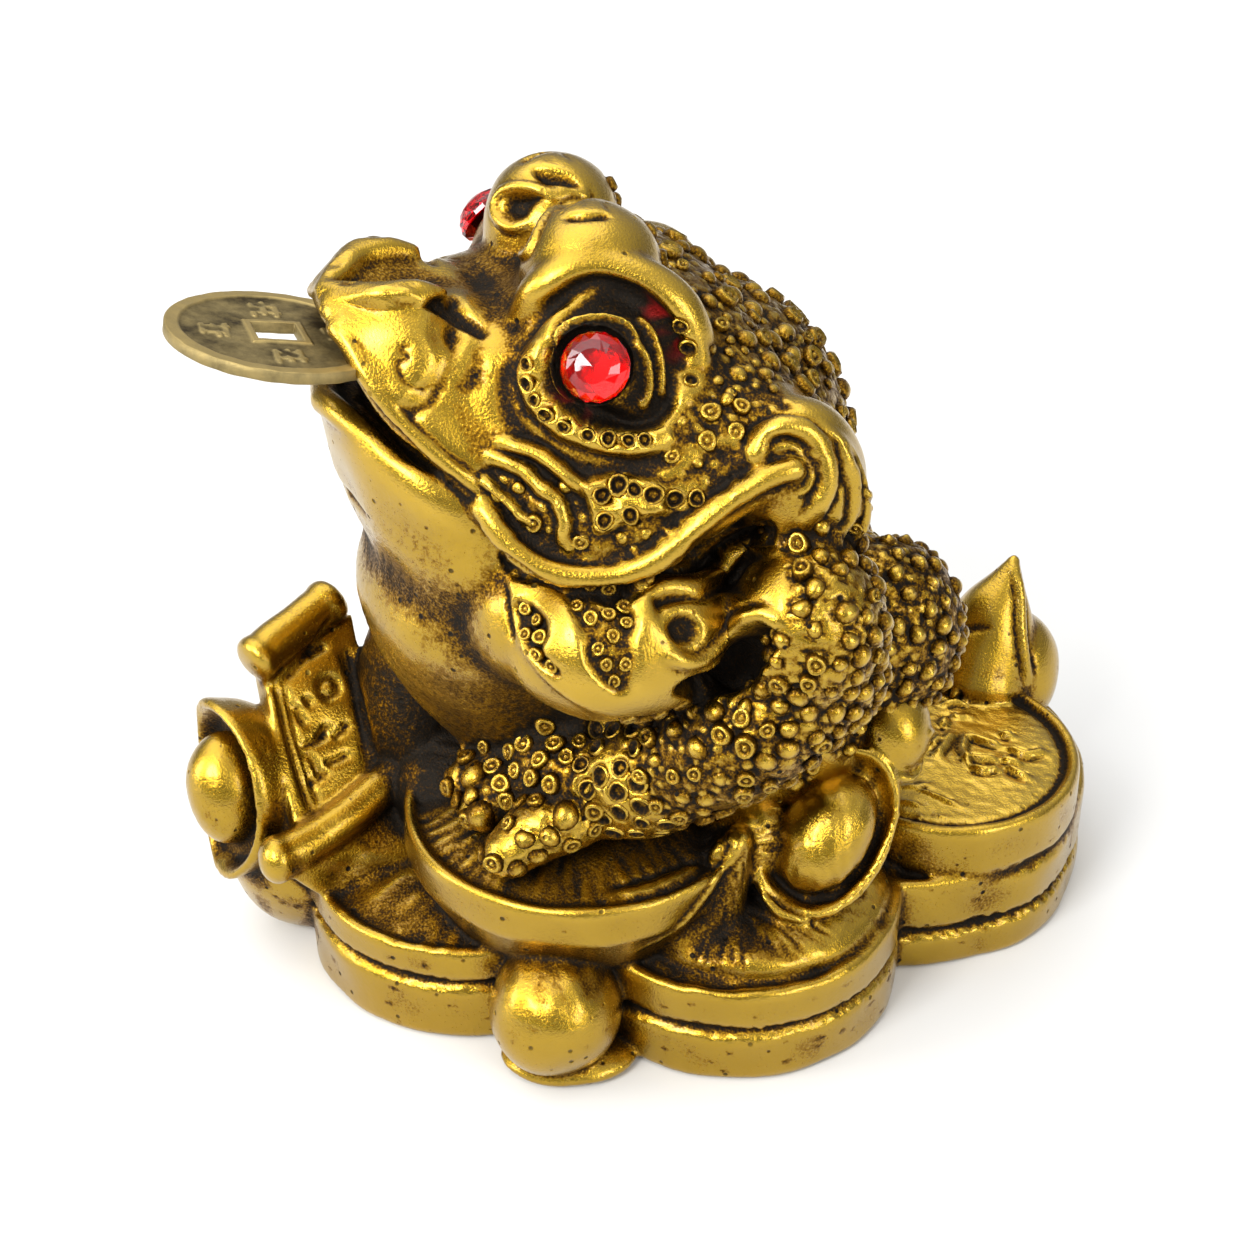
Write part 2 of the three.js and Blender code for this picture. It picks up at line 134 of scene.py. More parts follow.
def egg(center, radii, turn=(0, 0, 0), rows=28):
    # a sphere stretched to three radii, turned about Z, then Y, then X
    polar = np.linspace(0, np.pi, rows + 1)[1:-1, None]
    a = np.linspace(0, 2 * np.pi, 2 * rows, endpoint=False)[None]
    ball = np.stack([np.sin(polar) * np.cos(a), np.sin(polar) * np.sin(a), np.cos(polar) + 0 * a], -1)
    spin = np.array(Euler(np.radians(turn), "XYZ").to_matrix())
    place = lambda p: (p * radii) @ spin.T + center
    return skin(place(ball), place(np.array([0, 0, 1.0])), place(np.array([0, 0, -1.0])))


def tube(path, radii, around=20, steps=8, flat=1.0, up=(0, 0, 1), pointed=1.0):
    # a round section carried along a smooth path, its radius blended from point to point, with domed ends
    line = smoothLine(path, steps)
    size = smoothLine(np.array(radii, float)[:, None], max(1, (len(line) - 1) // (len(radii) - 1)))[:, 0]
    size = np.interp(np.linspace(0, 1, len(line)), np.linspace(0, 1, len(size)), size)
    tangent = np.gradient(line, axis=0)
    tangent /= np.linalg.norm(tangent, axis=1)[:, None]
    dome = np.radians([80, 60, 40, 20])
    bulge = np.sin(dome) * pointed
    shift = np.concatenate([-bulge * size[0], 0 * size, bulge[::-1] * size[-1]])
    pick = np.concatenate([np.zeros(4, int), np.arange(len(line)), np.full(4, len(line) - 1)])
    shrink = np.concatenate([np.cos(dome), np.ones(len(line)), np.cos(dome[::-1])])
    middle = line[pick] + tangent[pick] * shift[:, None]
    side = np.cross(np.asarray(up, float), tangent)
    side /= np.linalg.norm(side, axis=1)[:, None]
    top = np.cross(tangent, side)
    a = np.linspace(0, 2 * np.pi, around, endpoint=False)[None, :, None]
    r = (size[pick] * shrink)[:, None, None]
    rings = middle[:, None] + r * (np.cos(a) * side[pick][:, None] + flat * np.sin(a) * top[pick][:, None])
    first = line[0] - tangent[0] * size[0] * pointed
    last = line[-1] + tangent[-1] * size[-1] * pointed
    return skin(rings, first, last)


def turned(profile, center, around=120):
    # a [radius, height] profile spun about the upright line through center
    r, z = np.array(profile, float).T
    a = np.linspace(0, 2 * np.pi, around, endpoint=False)
    rings = np.stack([np.outer(r, np.cos(a)), np.outer(r, np.sin(a)), np.repeat(z[:, None], around, 1)], -1)
    rings = rings + np.array([*center, 0.0])
    return skin(rings[1:-1], rings[0, 0], rings[-1, 0])


def mirrored(form):
    # the same form with X turned over
    points, tris = form
    return points * [-1, 1, 1], tris[:, ::-1]


def bothSides(forms):
    # the forms, and then their mirror images
    return forms + [mirrored(form) for form in forms]


def joined(forms):
    # several forms as one: all their points in a row, and each one's triangles counted on from the last
    starts = np.cumsum([0] + [len(points) for points, _ in forms])
    return np.vstack([p for p, _ in forms]), np.vstack([t + s for (_, t), s in zip(forms, starts)])


def newMesh(name, points, tris):
    # a mesh from whole arrays of points and triangles
    mesh = bpy.data.meshes.new(name)
    mesh.vertices.add(len(points))
    mesh.vertices.foreach_set("co", np.asarray(points, np.float32).ravel())
    mesh.loops.add(3 * len(tris))
    mesh.loops.foreach_set("vertex_index", np.asarray(tris, np.int32).ravel())
    mesh.polygons.add(len(tris))
    mesh.polygons.foreach_set("loop_start", np.arange(0, 3 * len(tris), 3, dtype=np.int32))
    mesh.update(calc_edges=True)
    return mesh


def readMesh(mesh):
    # a mesh's points and triangles as whole arrays
    points = np.empty(3 * len(mesh.vertices), np.float32)
    mesh.vertices.foreach_get("co", points)
    mesh.calc_loop_triangles()
    tris = np.empty(3 * len(mesh.loop_triangles), np.int32)
    mesh.loop_triangles.foreach_get("vertices", tris)
    return points.reshape(-1, 3).astype(float), tris.reshape(-1, 3)


def worked(form, kind, other=None, **settings):
    # runs one modifier over a form and reads the result back; other is a second form that it works with
    things = [bpy.data.objects.new("work", newMesh("work", *form))]
    modifier = things[0].modifiers.new("work", kind)
    if other is not None:
        things.append(bpy.data.objects.new("other", newMesh("other", *other)))
        modifier.object = things[1]
    for key, value in settings.items():
        setattr(modifier, key, value)
    for thing in things:
        bpy.context.scene.collection.objects.link(thing)
    done = things[0].evaluated_get(bpy.context.evaluated_depsgraph_get())
    result = readMesh(done.to_mesh())
    done.to_mesh_clear()
    for thing in things:
        mesh = thing.data
        bpy.data.objects.remove(thing)
        bpy.data.meshes.remove(mesh)
    return result


def remeshed(form, voxel):
    # one skin around forms that overlap, drawn through a grid of cells of one size
    return worked(form, "REMESH", mode="VOXEL", voxel_size=voxel)


def cut(form, tool):
    # the form, less what the tool covers
    return worked(form, "BOOLEAN", other=tool, operation="DIFFERENCE", solver="MANIFOLD")


class Links:
    # which points share an edge, so that a value can be averaged over each point's neighbours
    def __init__(self, count, tris):
        pairs = np.vstack([tris[:, [0, 1]], tris[:, [1, 2]], tris[:, [2, 0]]])
        pairs.sort(axis=1)
        keys = np.unique(pairs[:, 0].astype(np.int64) * count + pairs[:, 1])
        self.a, self.b = keys // count, keys % count
        self.count = count
        number = np.bincount(self.a, minlength=count) + np.bincount(self.b, minlength=count)
        self.number = np.maximum(number, 1)

    def mean(self, values):
        # the mean of each point's neighbours
        flat = values.reshape(self.count, -1)
        total = np.stack([
            np.bincount(self.a, v[self.b], self.count) + np.bincount(self.b, v[self.a], self.count)
            for v in flat.T], 1)
        return (total / self.number[:, None]).reshape(values.shape)

    def smooth(self, values, rounds, share=0.6):
        # each value moved a share of the way to that mean, some rounds over
        for _ in range(rounds):
            values = values + share * (self.mean(values) - values)
        return values


def normals(points, tris):
    # each point's normal is the sum of its triangles' cross products, so larger ones count for more
    a, b, c = points[tris[:, 0]], points[tris[:, 1]], points[tris[:, 2]]
    face = np.cross(b - a, c - a)
    total = np.stack([
        sum(np.bincount(tris[:, k], face[:, i], len(points)) for k in range(3)) for i in range(3)], 1)
    return total / np.maximum(np.linalg.norm(total, axis=1)[:, None], 1e-12)


def crossways(normal):
    # two directions at right angles to each normal and to each other, by cross products
    side = np.cross(normal, np.where(np.abs(normal[:, 2:]) < 0.8, [[0, 0, 1.0]], [[1.0, 0, 0]]))
    side /= np.linalg.norm(side, axis=1)[:, None]
    return side, np.cross(normal, side)


def softened(form, rounds, share=0.6):
    # each point is moved by a share of the way to its neighbours' mean, some rounds over
    points, tris = form
    return Links(len(points), tris).smooth(points, rounds, share), tris


# the toad's masses
toad = {
    "massVoxel": 0.55, "massRounds": 6,
    "fineVoxel": 0.3, "fineRounds": 3,
    "cup": 4.1, "cupRise": 2.6,  # the hollow round a gem: its radius, and its centre along the gem's axis
    "triangles": 196000,
}

# Throat and chest: ovals, each by its front point and back point in the middle plane, and its half width.
chestOvals = [
    [(-38.0, 76.0), (-14.0, 66.0), 14.5], [(-38.2, 73.0), (-12.0, 62.0), 16.5],
    [(-37.4, 68.0), (-8.0, 58.0), 17.5], [(-35.8, 62.0), (-6.0, 55.0), 18.5],
    [(-34.2, 56.6), (-4.0, 52.0), 18.5], [(-35.8, 50.3), (-2.0, 48.0), 18.5],
    [(-33.4, 42.0), (0.0, 42.0), 15.5], [(-28.0, 33.0), (0.0, 34.0), 12.0],
    [(-22.0, 25.0), (0.0, 25.0), 11.0],
]

# Half cross sections of the head from the snout back, as [x, z] points from crown to palate.
headSections = [
    [-38, [0, 87.5], [1.5, 87.8], [2.6, 87.2], [3, 86.4], [3, 86], [0, 85.4]],
    [-34.8, [0, 87.2], [3.4, 88], [6.4, 86], [8.2, 83.5], [9, 81.6], [0, 84]],
    [-30.5, [0, 87], [5.2, 88.2], [8.6, 85.5], [11.4, 81], [13.2, 76.6], [0, 80]],
    [-26, [0, 86.4], [5.8, 87.2], [10.6, 83.6], [13.8, 78], [16.4, 70.6], [0, 74]],
    [-20, [0, 86.2], [5.6, 86.4], [13.4, 83], [18.4, 76], [21.6, 64.8], [0, 64]],
    [-12, [0, 88.2], [7.4, 88], [16.6, 83.4], [22.6, 74.6], [24.8, 64], [0, 60]],
    [-4, [0, 87.6], [8, 87], [17.6, 82.5], [24, 76], [25.6, 67.4], [0, 60]],
    [4, [0, 84], [8, 83.5], [17, 80.5], [23.6, 78], [25.6, 72], [0, 60]],
    [11, [0, 76], [7, 76], [14, 75], [20, 73], [22, 68], [0, 60]],
]


def chest():
    # each oval is a circle sheared between its two middle points; rows are blended down the body
    front, back, width = (np.array([o[i] for o in chestOvals], float) for i in range(3))
    rows = smoothLine(np.hstack([front, back, width[:, None]]), 6)
    a = np.linspace(0, 2 * np.pi, 64, endpoint=False)[None]
    share = (1 + np.cos(a)) / 2
    y = rows[:, 2:3] + (rows[:, 0:1] - rows[:, 2:3]) * share
    z = rows[:, 3:4] + (rows[:, 1:2] - rows[:, 3:4]) * share
    rings = np.stack([rows[:, 4:5] * np.sin(a), y, z], -1)
    return skin(rings, (0, -26, 71.5), (0, -11, 24))


def skull():
    # the half sections are mirrored into rings, then blended round each ring and from ring to ring
    rings = []
    for y, *half in headSections:
        near = [[x, y, z] for x, z in half]
        rings.append(near + [[-x, y, z] for x, _, z in near[-2:0:-1]])
    rings = np.array(rings, float)
    around = np.array([smoothLine(ring, 6, closed=True) for ring in rings])
    rows = smoothLine(around.reshape(len(around), -1), 6).reshape(-1, around.shape[1], 3)
    return skin(rows, (0, -38.6, 86), (0, 13, 68))


def toadMasses():
    # eggs and a tube for each side, the trunk, the chest and the head, under one skin that is then softened
    half = [
        egg((6.6, -11, 88.4), (7.2, 7.4, 7.6)),
        egg((22.5, 5.8, 70.2), (5.8, 7, 9.4), (15, 0, 0)),
        egg((22, -13, 55), (9.4, 12.5, 8.6)),
        egg((16, -17.2, 55.5), (9.6, 10.8, 9)),
        egg((28.2, 5, 56), (8.6, 8.4, 9.8)),
        tube([(28, 7, 50), (28, -1, 44), (20, -10, 34), (16, -16, 30)], [7, 7, 6.5, 5]),
        egg((20.5, -10.5, 35.4), (6.2, 6, 6.2)),
        egg((13.4, -15.5, 33), (8.8, 7.4, 6.2)),
        egg((13.2, 20, 42), (8.8, 10.5, 12)),
    ]
    middle = [
        egg((12.6, -12.6, 81.4), (7.6, 8.6, 8.2)), egg((-12.3, -10.8, 81.4), (7.2, 7.6, 8.2)),
        egg((0, -6, 48), (19.5, 19.5, 26)),
        egg((0, 1, 60), (22, 18.5, 22), (-20, 0, 0)),
        egg((0, 8, 34), (23, 22, 20)),
        chest(), skull(),
    ]
    return softened(remeshed(joined(middle + bothSides(half)), toad["massVoxel"]), toad["massRounds"])


# Rolls that stand on the head and limbs: path and radii, left side.
rolls = {
    "snoutTop": [[(0, -37.2, 87.8), (2.4, -35, 88.2), (4.6, -32.4, 88.6), (5.5, -29.2, 88.6),
                  (5.6, -26.6, 87.8)],
                 [1, 1.3, 1.3, 1.3, 1]],
    "upperLip": [[(4.5, -36.3, 85.4), (8, -34.7, 81.8), (10.8, -32.4, 77.8), (13.2, -29.3, 75),
                  (16, -25.8, 70.4)],
                 [1.3, 1.6, 1.6, 1.6, 1.4]],
    "smile": [[(16.8, -26, 69.8), (21.2, -22.2, 65.2), (24.2, -15.5, 64), (25.8, -10.5, 66),
               (26.4, -5.5, 70.2), (26.6, 0, 73.4), (27, 3, 74.2)], [1.4, 1.7, 1.7, 1.6, 1.4, 1.3, 1.5]],
    "lowerLip": [[(0, -38, 75.4), (4, -36.8, 75.2), (10.8, -32.6, 72.4), (15, -27.2, 67.2)],
                 [1.6, 1.4, 1.3, 1.2]],
    "earRim": [[(25.5, -0.5, 75), (25, 3, 77.8), (26, 8.5, 75.4), (26.5, 11.2, 68), (26, 10.2, 61.5)],
               [0.8, 1, 1, 1, 0.8]],
    "toeOuter": [[(18.5, -14.5, 31.4), (19.4, -20.5, 30), (20, -25.6, 27.6)], [4, 4, 2.9]],
    "toeMiddle": [[(15, -16, 32), (13.4, -21.5, 30.8), (11.8, -26, 28.2)], [3.4, 3.4, 3.1]],
    "toeInner": [[(11.5, -16, 33.2), (9.6, -21.5, 31.6), (7.6, -26.4, 28.6)], [3.4, 3.1, 2.8]],
    "thumb": [[(8.8, -16, 35), (6.4, -20.6, 34), (4.7, -24.2, 31)], [3.2, 2.8, 2.4]],
}
brow = [[(7.8, -19.8, 83.4), (9.8, -17.2, 89.3), (11.2, -11.2, 91.1), (14.2, -5.5, 88), (15.6, -3.5, 84.2),
         (16.6, -3, 79.6)], [1.2, 2.1, 2.4, 2.5, 2.4, 1.8]]
farBrow = [[(-7.8, -17, 83.4), (-9.6, -14.6, 88.9), (-11.2, -10.4, 91), (-14.2, -5.5, 88),
            (-15.6, -3.5, 84.2), (-16.6, -3, 79.6)], [1, 1.7, 2.2, 2.3, 2.2, 1.6]]
gemSeat = {"place": (17.8, -14.2, 83.9), "axis": (0.76, -0.4, 0.5), "radius": 3.5, "height": 3.4}
mouth = {"path": [(0, -40, 80), (0, -33, 78.5), (0, -24, 73.5)], "radii": [6, 9, 11], "flat": 0.26}


def toadForm():
    # the masses with the rolls on them, less a round cup for each gem and a flat tube for the mouth
    form = toadMasses()
    print("toad masses:", len(form[0]), "points")
    half = [tube(path, radii, up=(1, 0, 0.1)) for path, radii in rolls.values()]
    axis = np.array(gemSeat["axis"]) / np.linalg.norm(gemSeat["axis"])
    cup = egg(np.array(gemSeat["place"]) + axis * toad["cupRise"], (toad["cup"],) * 3)
    brows = [tube(*brow, up=(1, 0, 0.1)), tube(*farBrow, up=(1, 0, 0.1))]
    form = remeshed(joined([form] + brows + bothSides(half)), toad["fineVoxel"])
    print("toad with rolls:", len(form[0]), "points")
    for tool in [cup, mirrored(cup), tube(mouth["path"], mouth["radii"], flat=mouth["flat"], around=40)]:
        form = cut(form, tool)
    form = softened(remeshed(form, toad["fineVoxel"]), toad["fineRounds"])
    print("toad cut:", len(form[0]), "points")
    return form


# relief
def onPicture(points):
    # where a point shows in the photo, in pixels: its sideways share of its depth, times the focal length
    away = np.asarray(points) - camPlace
    depth = -(away @ camBack)
    scale = photo["focal"] / depth
    middle = photo["side"] / 2
    return np.stack([middle + scale * (away @ camRight), middle - scale * (away @ camUp)], -1)


def lineDistance(points, line):
    # each point's distance to the nearest stretch of a line, and how far along the line that is, 0 to 1
    best, along = np.full(len(points), np.inf), np.zeros(len(points))
    lengths = np.linalg.norm(np.diff(line, axis=0), axis=1)
    starts = np.concatenate([[0], np.cumsum(lengths)])
    for a, b, length, start in zip(line[:-1], line[1:], lengths, starts):
        share = np.clip(((points - a) @ (b - a)) / max(length, 1e-9) ** 2, 0, 1)
        distance = np.linalg.norm(points - a - share[:, None] * (b - a), axis=1)
        nearer = distance < best
        best[nearer] = distance[nearer]
        along[nearer] = (start + share[nearer] * length) / max(starts[-1], 1e-9)
    return best, along


def step(low, high, x):
    # 0 below low, 1 above high, and a smooth S between them
    t = np.clip((x - low) / (high - low), 0, 1)
    return t * t * (3 - 2 * t)


def bell(x, width):
    # 1 at 0 and falling off to both sides: e to the power of minus x over width, squared
    return np.exp(-(x / width) ** 2)


def wobble(points, wave, seed, count=14):
    # an uneven value, mostly from -1 to 1: plane waves of about one length in random directions, added up
    rng = np.random.default_rng(seed)
    ways = rng.normal(size=(count, 3))
    ways /= np.linalg.norm(ways, axis=1)[:, None]
    turns = 2 * np.pi * ways.T / (wave * rng.uniform(0.7, 1.6, count))
    return np.sin(points @ turns + rng.uniform(0, 2 * np.pi, count)).sum(1) / np.sqrt(count)


studShapes = {
    # height as a share of the stud's own, by distance from its middle as a share of its radius
    "dome": lambda q: np.clip(1 - np.abs(q) ** 2.3, 0, 1) ** 0.62 - 0.3 * bell(q - 1.28, 0.2),
    "ringed": lambda q: 0.6 * step(1.08, 0.84, q) + 0.4 * bell(q - 0.72, 0.16) + 0.42 * bell(q, 0.25)
    - 0.3 * bell(q - 1.28, 0.2),
    "curl": lambda q: 0.35 * bell(q, 0.24) + 0.85 * bell(q - 0.78, 0.2) - 0.3 * bell(q - 0.4, 0.16)
    - 0.2 * bell(q - 1.28, 0.2),
    "hole": lambda q: -step(0.98, 0.66, q),
    "point": lambda q: np.clip(1.04 - q, 0, 1) ** 1.15 - 0.2 * bell(q - 1.28, 0.22),
}
wartRings = (0.16, 0.34, 0.52, 0.72, 0.9, 1.08)  # rings of a wart, as shares of its radius
wartKinds = {
    # height of each of these rings after the middle's, and how much patina they keep
    "dome": [(1, 0.98, 0.92, 0.8, 0.62, 0.3, -0.5), (0, 0, 0.02, 0.08, 0.2, 0.42, 0.62)],
    "ringed": [(0.92, 0.84, 0.42, 0.6, 0.98, 0.6, -0.5), (0, 0.1, 0.55, 0.36, 0.02, 0.3, 0.62)],
    "curl": [(0.9, 0.8, 0.3, 0.5, 1, 0.62, -0.5), (0.05, 0.1, 0.6, 0.4, 0, 0.3, 0.62)],
    "point": [(1.0, 0.94, 0.78, 0.56, 0.36, 0.18, -0.5), (0, 0, 0.05, 0.15, 0.3, 0.45, 0.62)],
    "hole": [(-1.05, -1.08, -1.1, -0.85, -0.05, 0.05, -0.6), (0.36, 0.42, 0.6, 0.95, 0.6, 0.03, 0)],
}
reliefLook = {"grain": 0.9, "grainHeight": 0.06, "unevenWave": 6.5, "unevenHeight": 0.1}


class Relief:
    # A form with one height for each point. Features change the heights, and at the end each point moves
    # along its normal by its height. A folded form takes every feature on both sides of the middle plane.
    # Stain is how dark a place is made, by patina and in places by painted shade, grit how grainy it is,
    # and red how much red tint lies beside the gems.
    def __init__(self, form, fold, stain):
        self.points, self.tris = form
        self.links = Links(len(self.points), self.tris)
        self.normal = self.links.smooth(normals(*form), 3)
        self.normal /= np.linalg.norm(self.normal, axis=1)[:, None]
        flip = np.where(self.points[:, :1] < 0, -1.0, 1.0) if fold else np.ones((len(self.points), 1))
        flip = np.hstack([flip, np.ones((len(self.points), 2))])
        self.place, self.facing = self.points * flip, self.normal * flip
        self.fold = fold
        self.height, self.grit, self.red = (np.zeros(len(self.points)) for _ in range(3))
        self.stain = np.full(len(self.points), float(stain))
        self.uneven = wobble(self.place, 1.7, 3)
        self.tree = BVHTree.FromPolygons(self.points.tolist(), self.tris.tolist())
        self.near = KDTree(len(self.place))
        for i, p in enumerate(self.place.tolist()):
            self.near.insert(p, i)
        self.near.balance()
        self.pixel = onPicture(self.place)
        self.views, self.warts = {}, []

    def cast(self, pixels):
        # the first point of the form that the photo's camera meets behind each pixel
        found = []
        for x, y in pixels:
            way = -camBack + camRight * (x - photo["side"] / 2) / photo["focal"]
            way = way - camUp * (y - photo["side"] / 2) / photo["focal"]
            way /= np.linalg.norm(way)
            hit = self.tree.ray_cast(camPlace.tolist(), way.tolist())[0]
            if hit is None:
                hit = self.tree.find_nearest((camPlace + way * photo["distance"]).tolist())[0]
            found.append(hit)
        found = np.array(found)
        if self.fold:
            found[:, 0] = np.abs(found[:, 0])
        return found

    def view(self, far):
        # for each point, or for its image on the far side, its pixel and whether nothing hides it
        if far not in self.views:
            turn = np.array([-1.0, 1, 1]) if far else np.ones(3)
            place, facing = self.place * turn, self.facing * turn
            ways = place - camPlace
            reach = np.linalg.norm(ways, axis=1)
            ways /= reach[:, None]
            shown = np.einsum("ij,ij->i", facing, ways) < -0.05
            index = np.flatnonzero(shown)
            start, cast = camPlace.tolist(), self.tree.ray_cast
            limits = (reach[index] - 1.2).tolist()
            rays = zip(ways[index].tolist(), limits)
            shown[index] = [cast(start, way, most)[0] is None for way, most in rays]
            self.views[far] = onPicture(place), shown
        return self.views[far]

    def around(self, line, reach):
        # the points within reach of a line, each with its distance from it and its place along it
        inside = np.all((self.place > line.min(0) - reach) & (self.place < line.max(0) + reach), axis=1)
        index = np.flatnonzero(inside)
        distance, along = lineDistance(self.place[index], line)
        keep = distance < reach
        return index[keep], distance[keep], along[keep]

    def ridge(self, line, width, height, moat=0.25, taper=0.15, stain=0.0, edge=0.25):
        # a half-round roll on the line, with a shallow moat on both sides, lower at its ends
        index, distance, along = self.around(smoothLine(line, 6), width)
        q = distance / (width / 2) * (1 + 0.07 * self.uneven[index])
        ends = step(-0.02, taper, along) * step(1.02, 1 - taper, along)
        lift = np.sqrt(np.clip(1 - q ** 2, 0, 1)) * (0.35 + 0.65 * ends)
        low = self.height[index] - moat * height * bell(q - 1.35, 0.3) * ends
        self.height[index] = np.where(q < 1, np.maximum(low, low * 0.5 + height * lift), low)
        self.stain[index] += 0.9 * lift * (stain - self.stain[index]) + edge * bell(q - 1.3, 0.3) * ends

    def groove(self, line, width, depth, taper=0.12, stain=0.3):
        # a furrow along the line with a bell's section, shallower at its ends
        index, distance, along = self.around(smoothLine(line, 6), width * 1.5)
        ends = step(-0.02, taper, along) * step(1.02, 1 - taper, along)
        self.height[index] -= depth * bell(distance, width / 2) * (0.2 + 0.8 * ends)
        self.stain[index] += stain * bell(distance, width / 2) * ends

    def stud(self, place, radius, height, kind="dome"):
        # a round mark whose height follows its kind's curve; one that is large enough is kept for wartForms
        found = self.near.find_range(place, radius * 1.9)
        index = np.array([i for _, i, _ in found], int)
        distance = np.array([far for _, _, far in found])
        if not len(index):
            return
        q = distance / radius * (1 + 0.13 * self.uneven[index])
        value = studShapes[kind](q)
        middle = index[distance.argmin()]
        if wartKinds.get(kind) and radius > 0.6:
            level = self.height[middle]
            self.warts.append((self.place[middle], self.facing[middle], radius, height, kind, level))
            if kind == "hole":
                self.height[index] -= 1.4 * height * step(1.0, 0.7, q)
            else:
                self.height[index] -= 0.25 * height * bell(q - 1.2, 0.25)
                self.stain[index] += 0.2 * bell(q - 1.15, 0.25)
        else:
            raised = np.maximum(self.height[index], self.height[middle] + value * height)
            self.height[index] = np.where(q < 1, raised, self.height[index] + np.minimum(value, 0) * height)
            self.stain[index] *= 1 - 0.8 * step(0.25, 0.75, value)

    def studs(self, places, radius, height, kinds=("dome",), vary=0.15, seed=1):
        # a mark at each place, of a random kind among those given and a little uneven in size
        rng = np.random.default_rng(seed)
        for place in places:
            size = 1 + vary * rng.uniform(-1, 1)
            self.stud(place, radius * size, height * size, kinds[rng.integers(len(kinds))])

    def area(self, outline, edge=0.5, far=False):
        # 1 inside an outline drawn on the photo, falling to 0 at its edge over a width in mm
        pixel, shown = self.view(far)
        line = smoothLine(outline, 4, closed=True)
        line = np.vstack([line, line[:1]])
        index = np.flatnonzero(shown & np.all((pixel > line.min(0)) & (pixel < line.max(0)), axis=1))
        x, y = pixel[index].T
        (ax, ay), (bx, by) = line[:-1].T[..., None], line[1:].T[..., None]
        rise = np.where(by == ay, 1e-9, by - ay)
        crossed = ((ay > y) != (by > y)) & (x < (bx - ax) * (y - ay) / rise + ax)
        index = index[crossed.sum(0) % 2 == 1]
        distance, _ = lineDistance(pixel[index], line)
        share = np.zeros(len(self.place))
        share[index] = step(0, edge, distance * photo["distance"] / photo["focal"])
        return self.links.smooth(share, 2)

    def blob(self, center, radii, edge=0.15):
        # 1 inside an egg-shaped space, falling to 0 at its edge
        away = np.linalg.norm((self.place - center) / radii, axis=1)
        return step(1 + edge, 1 - edge, away)

    def ground(self, share, drop, stain, grit=1.0):
        # sinks a place a little and leaves it dark and grainy
        self.height -= drop * share
        self.stain += stain * share
        self.grit = np.maximum(self.grit, grit * share)

    def scatter(self, mask, pitch, seed, slack=0.2):
        # points at least a pitch apart: each next one is the free point nearest to those already taken
        index = np.flatnonzero(mask & (self.points[:, 0] >= 0)) if self.fold else np.flatnonzero(mask)
        if not len(index):
            return np.zeros((0, 3))
        spots = self.place[index]
        gap = np.full(len(spots), np.inf)
        rng = np.random.default_rng(seed)
        least = pitch * rng.uniform(1.0, 1.0 + slack, len(spots))
        chosen, current = [], rng.integers(len(spots))
        while True:
            chosen.append(spots[current])
            gap = np.minimum(gap, np.linalg.norm(spots - spots[current], axis=1))
            free = np.flatnonzero(gap > least)
            if not len(free):
                return np.array(chosen)
            current = free[np.argmin(gap[free])]

    def done(self, rounds=1):
        # every point moved along its normal by its height, with the casting's unevenness and grain added
        look = reliefLook
        self.height += look["unevenHeight"] * wobble(self.points, look["unevenWave"], 12)
        self.height += look["grainHeight"] * self.grit * wobble(self.points, look["grain"], 11, 30)
        points = self.points + self.normal * self.height[:, None]
        points = self.links.smooth(points, rounds, 0.4)
        points[:, 2] = np.maximum(points[:, 2], 0)
        return points, self.tris

    def at(self, places):
        # stain and red near each place, from the nearest face of the uncarved form
        corners = np.array([self.tris[self.tree.find_nearest(p)[2]] for p in places.tolist()])
        return self.stain[corners].mean(1), np.clip(self.red[corners].mean(1), 0, 1)


# The toad's relief. Lines, outlines and spots are given in pixels of the photo, and the functions after
# them press each into the form where the camera's rays through those pixels meet it.
eyeMarks = {
    "socket": [(541, 366), (549, 334), (564, 308), (588, 291), (616, 288), (644, 299), (664, 322),
               (675, 352), (680, 384), (676, 410), (656, 424), (626, 431), (598, 430), (572, 420),
               (552, 405), (542, 388)],
    "browEdge": [(520, 345), (540, 318), (562, 298), (588, 284), (616, 286), (644, 297), (667, 321),
                 (678, 350), (680, 378)],
    "outerGroove": [(518, 352), (506, 372), (504, 392), (512, 418), (530, 440), (548, 452), (578, 466),
                    (611, 471), (654, 466), (682, 452)],
    "lidBand": [(534, 350), (528, 372), (532, 392), (544, 410), (563, 425), (588, 436), (616, 442),
                (640, 444), (662, 438)],
    "lidRings": [(531, 364), (532, 381), (538, 397), (549, 411), (566, 424), (588, 434), (608, 438),
                 (627, 440), (646, 440)],
    "gap": [(551, 350), (549, 372), (555, 390), (566, 402), (584, 412), (606, 418), (632, 424), (656, 420),
            (668, 402)],
    "upperLid": [(554, 346), (558, 329), (570, 319), (588, 314), (610, 314), (628, 321), (640, 335)],
    "folds": [[(645, 318), (658, 340), (664, 364), (664, 392)],
              [(640, 342), (650, 364), (652, 390), (644, 406)]],
    "browRings": [(680, 327), (688, 349), (691, 379)],
    "slit": [(566, 218), (586, 216), (608, 215)],
    "star": [[(551, 210), (560, 202), (574, 197), (592, 197), (606, 204), (613, 212)],
             [(574, 197), (584, 205)]],
    "redTints": [[(650, 306), (668, 326), (677, 350)], [(556, 402), (566, 411), (579, 417)]],
}
farMound = {
    "crescent": [(531, 168), (538, 166), (553, 167), (567, 171), (578, 179), (583, 189), (575, 189),
                 (561, 186), (545, 185), (534, 178)],
    "spiral": [(501, 201), (507, 194), (520, 192), (537, 194), (546, 197), (533, 207), (526, 218),
               (515, 222), (507, 219), (500, 212)],
    "rim": [(556, 197), (535, 188), (515, 186), (499, 193), (493, 206), (498, 220), (512, 228), (526, 224)],
}
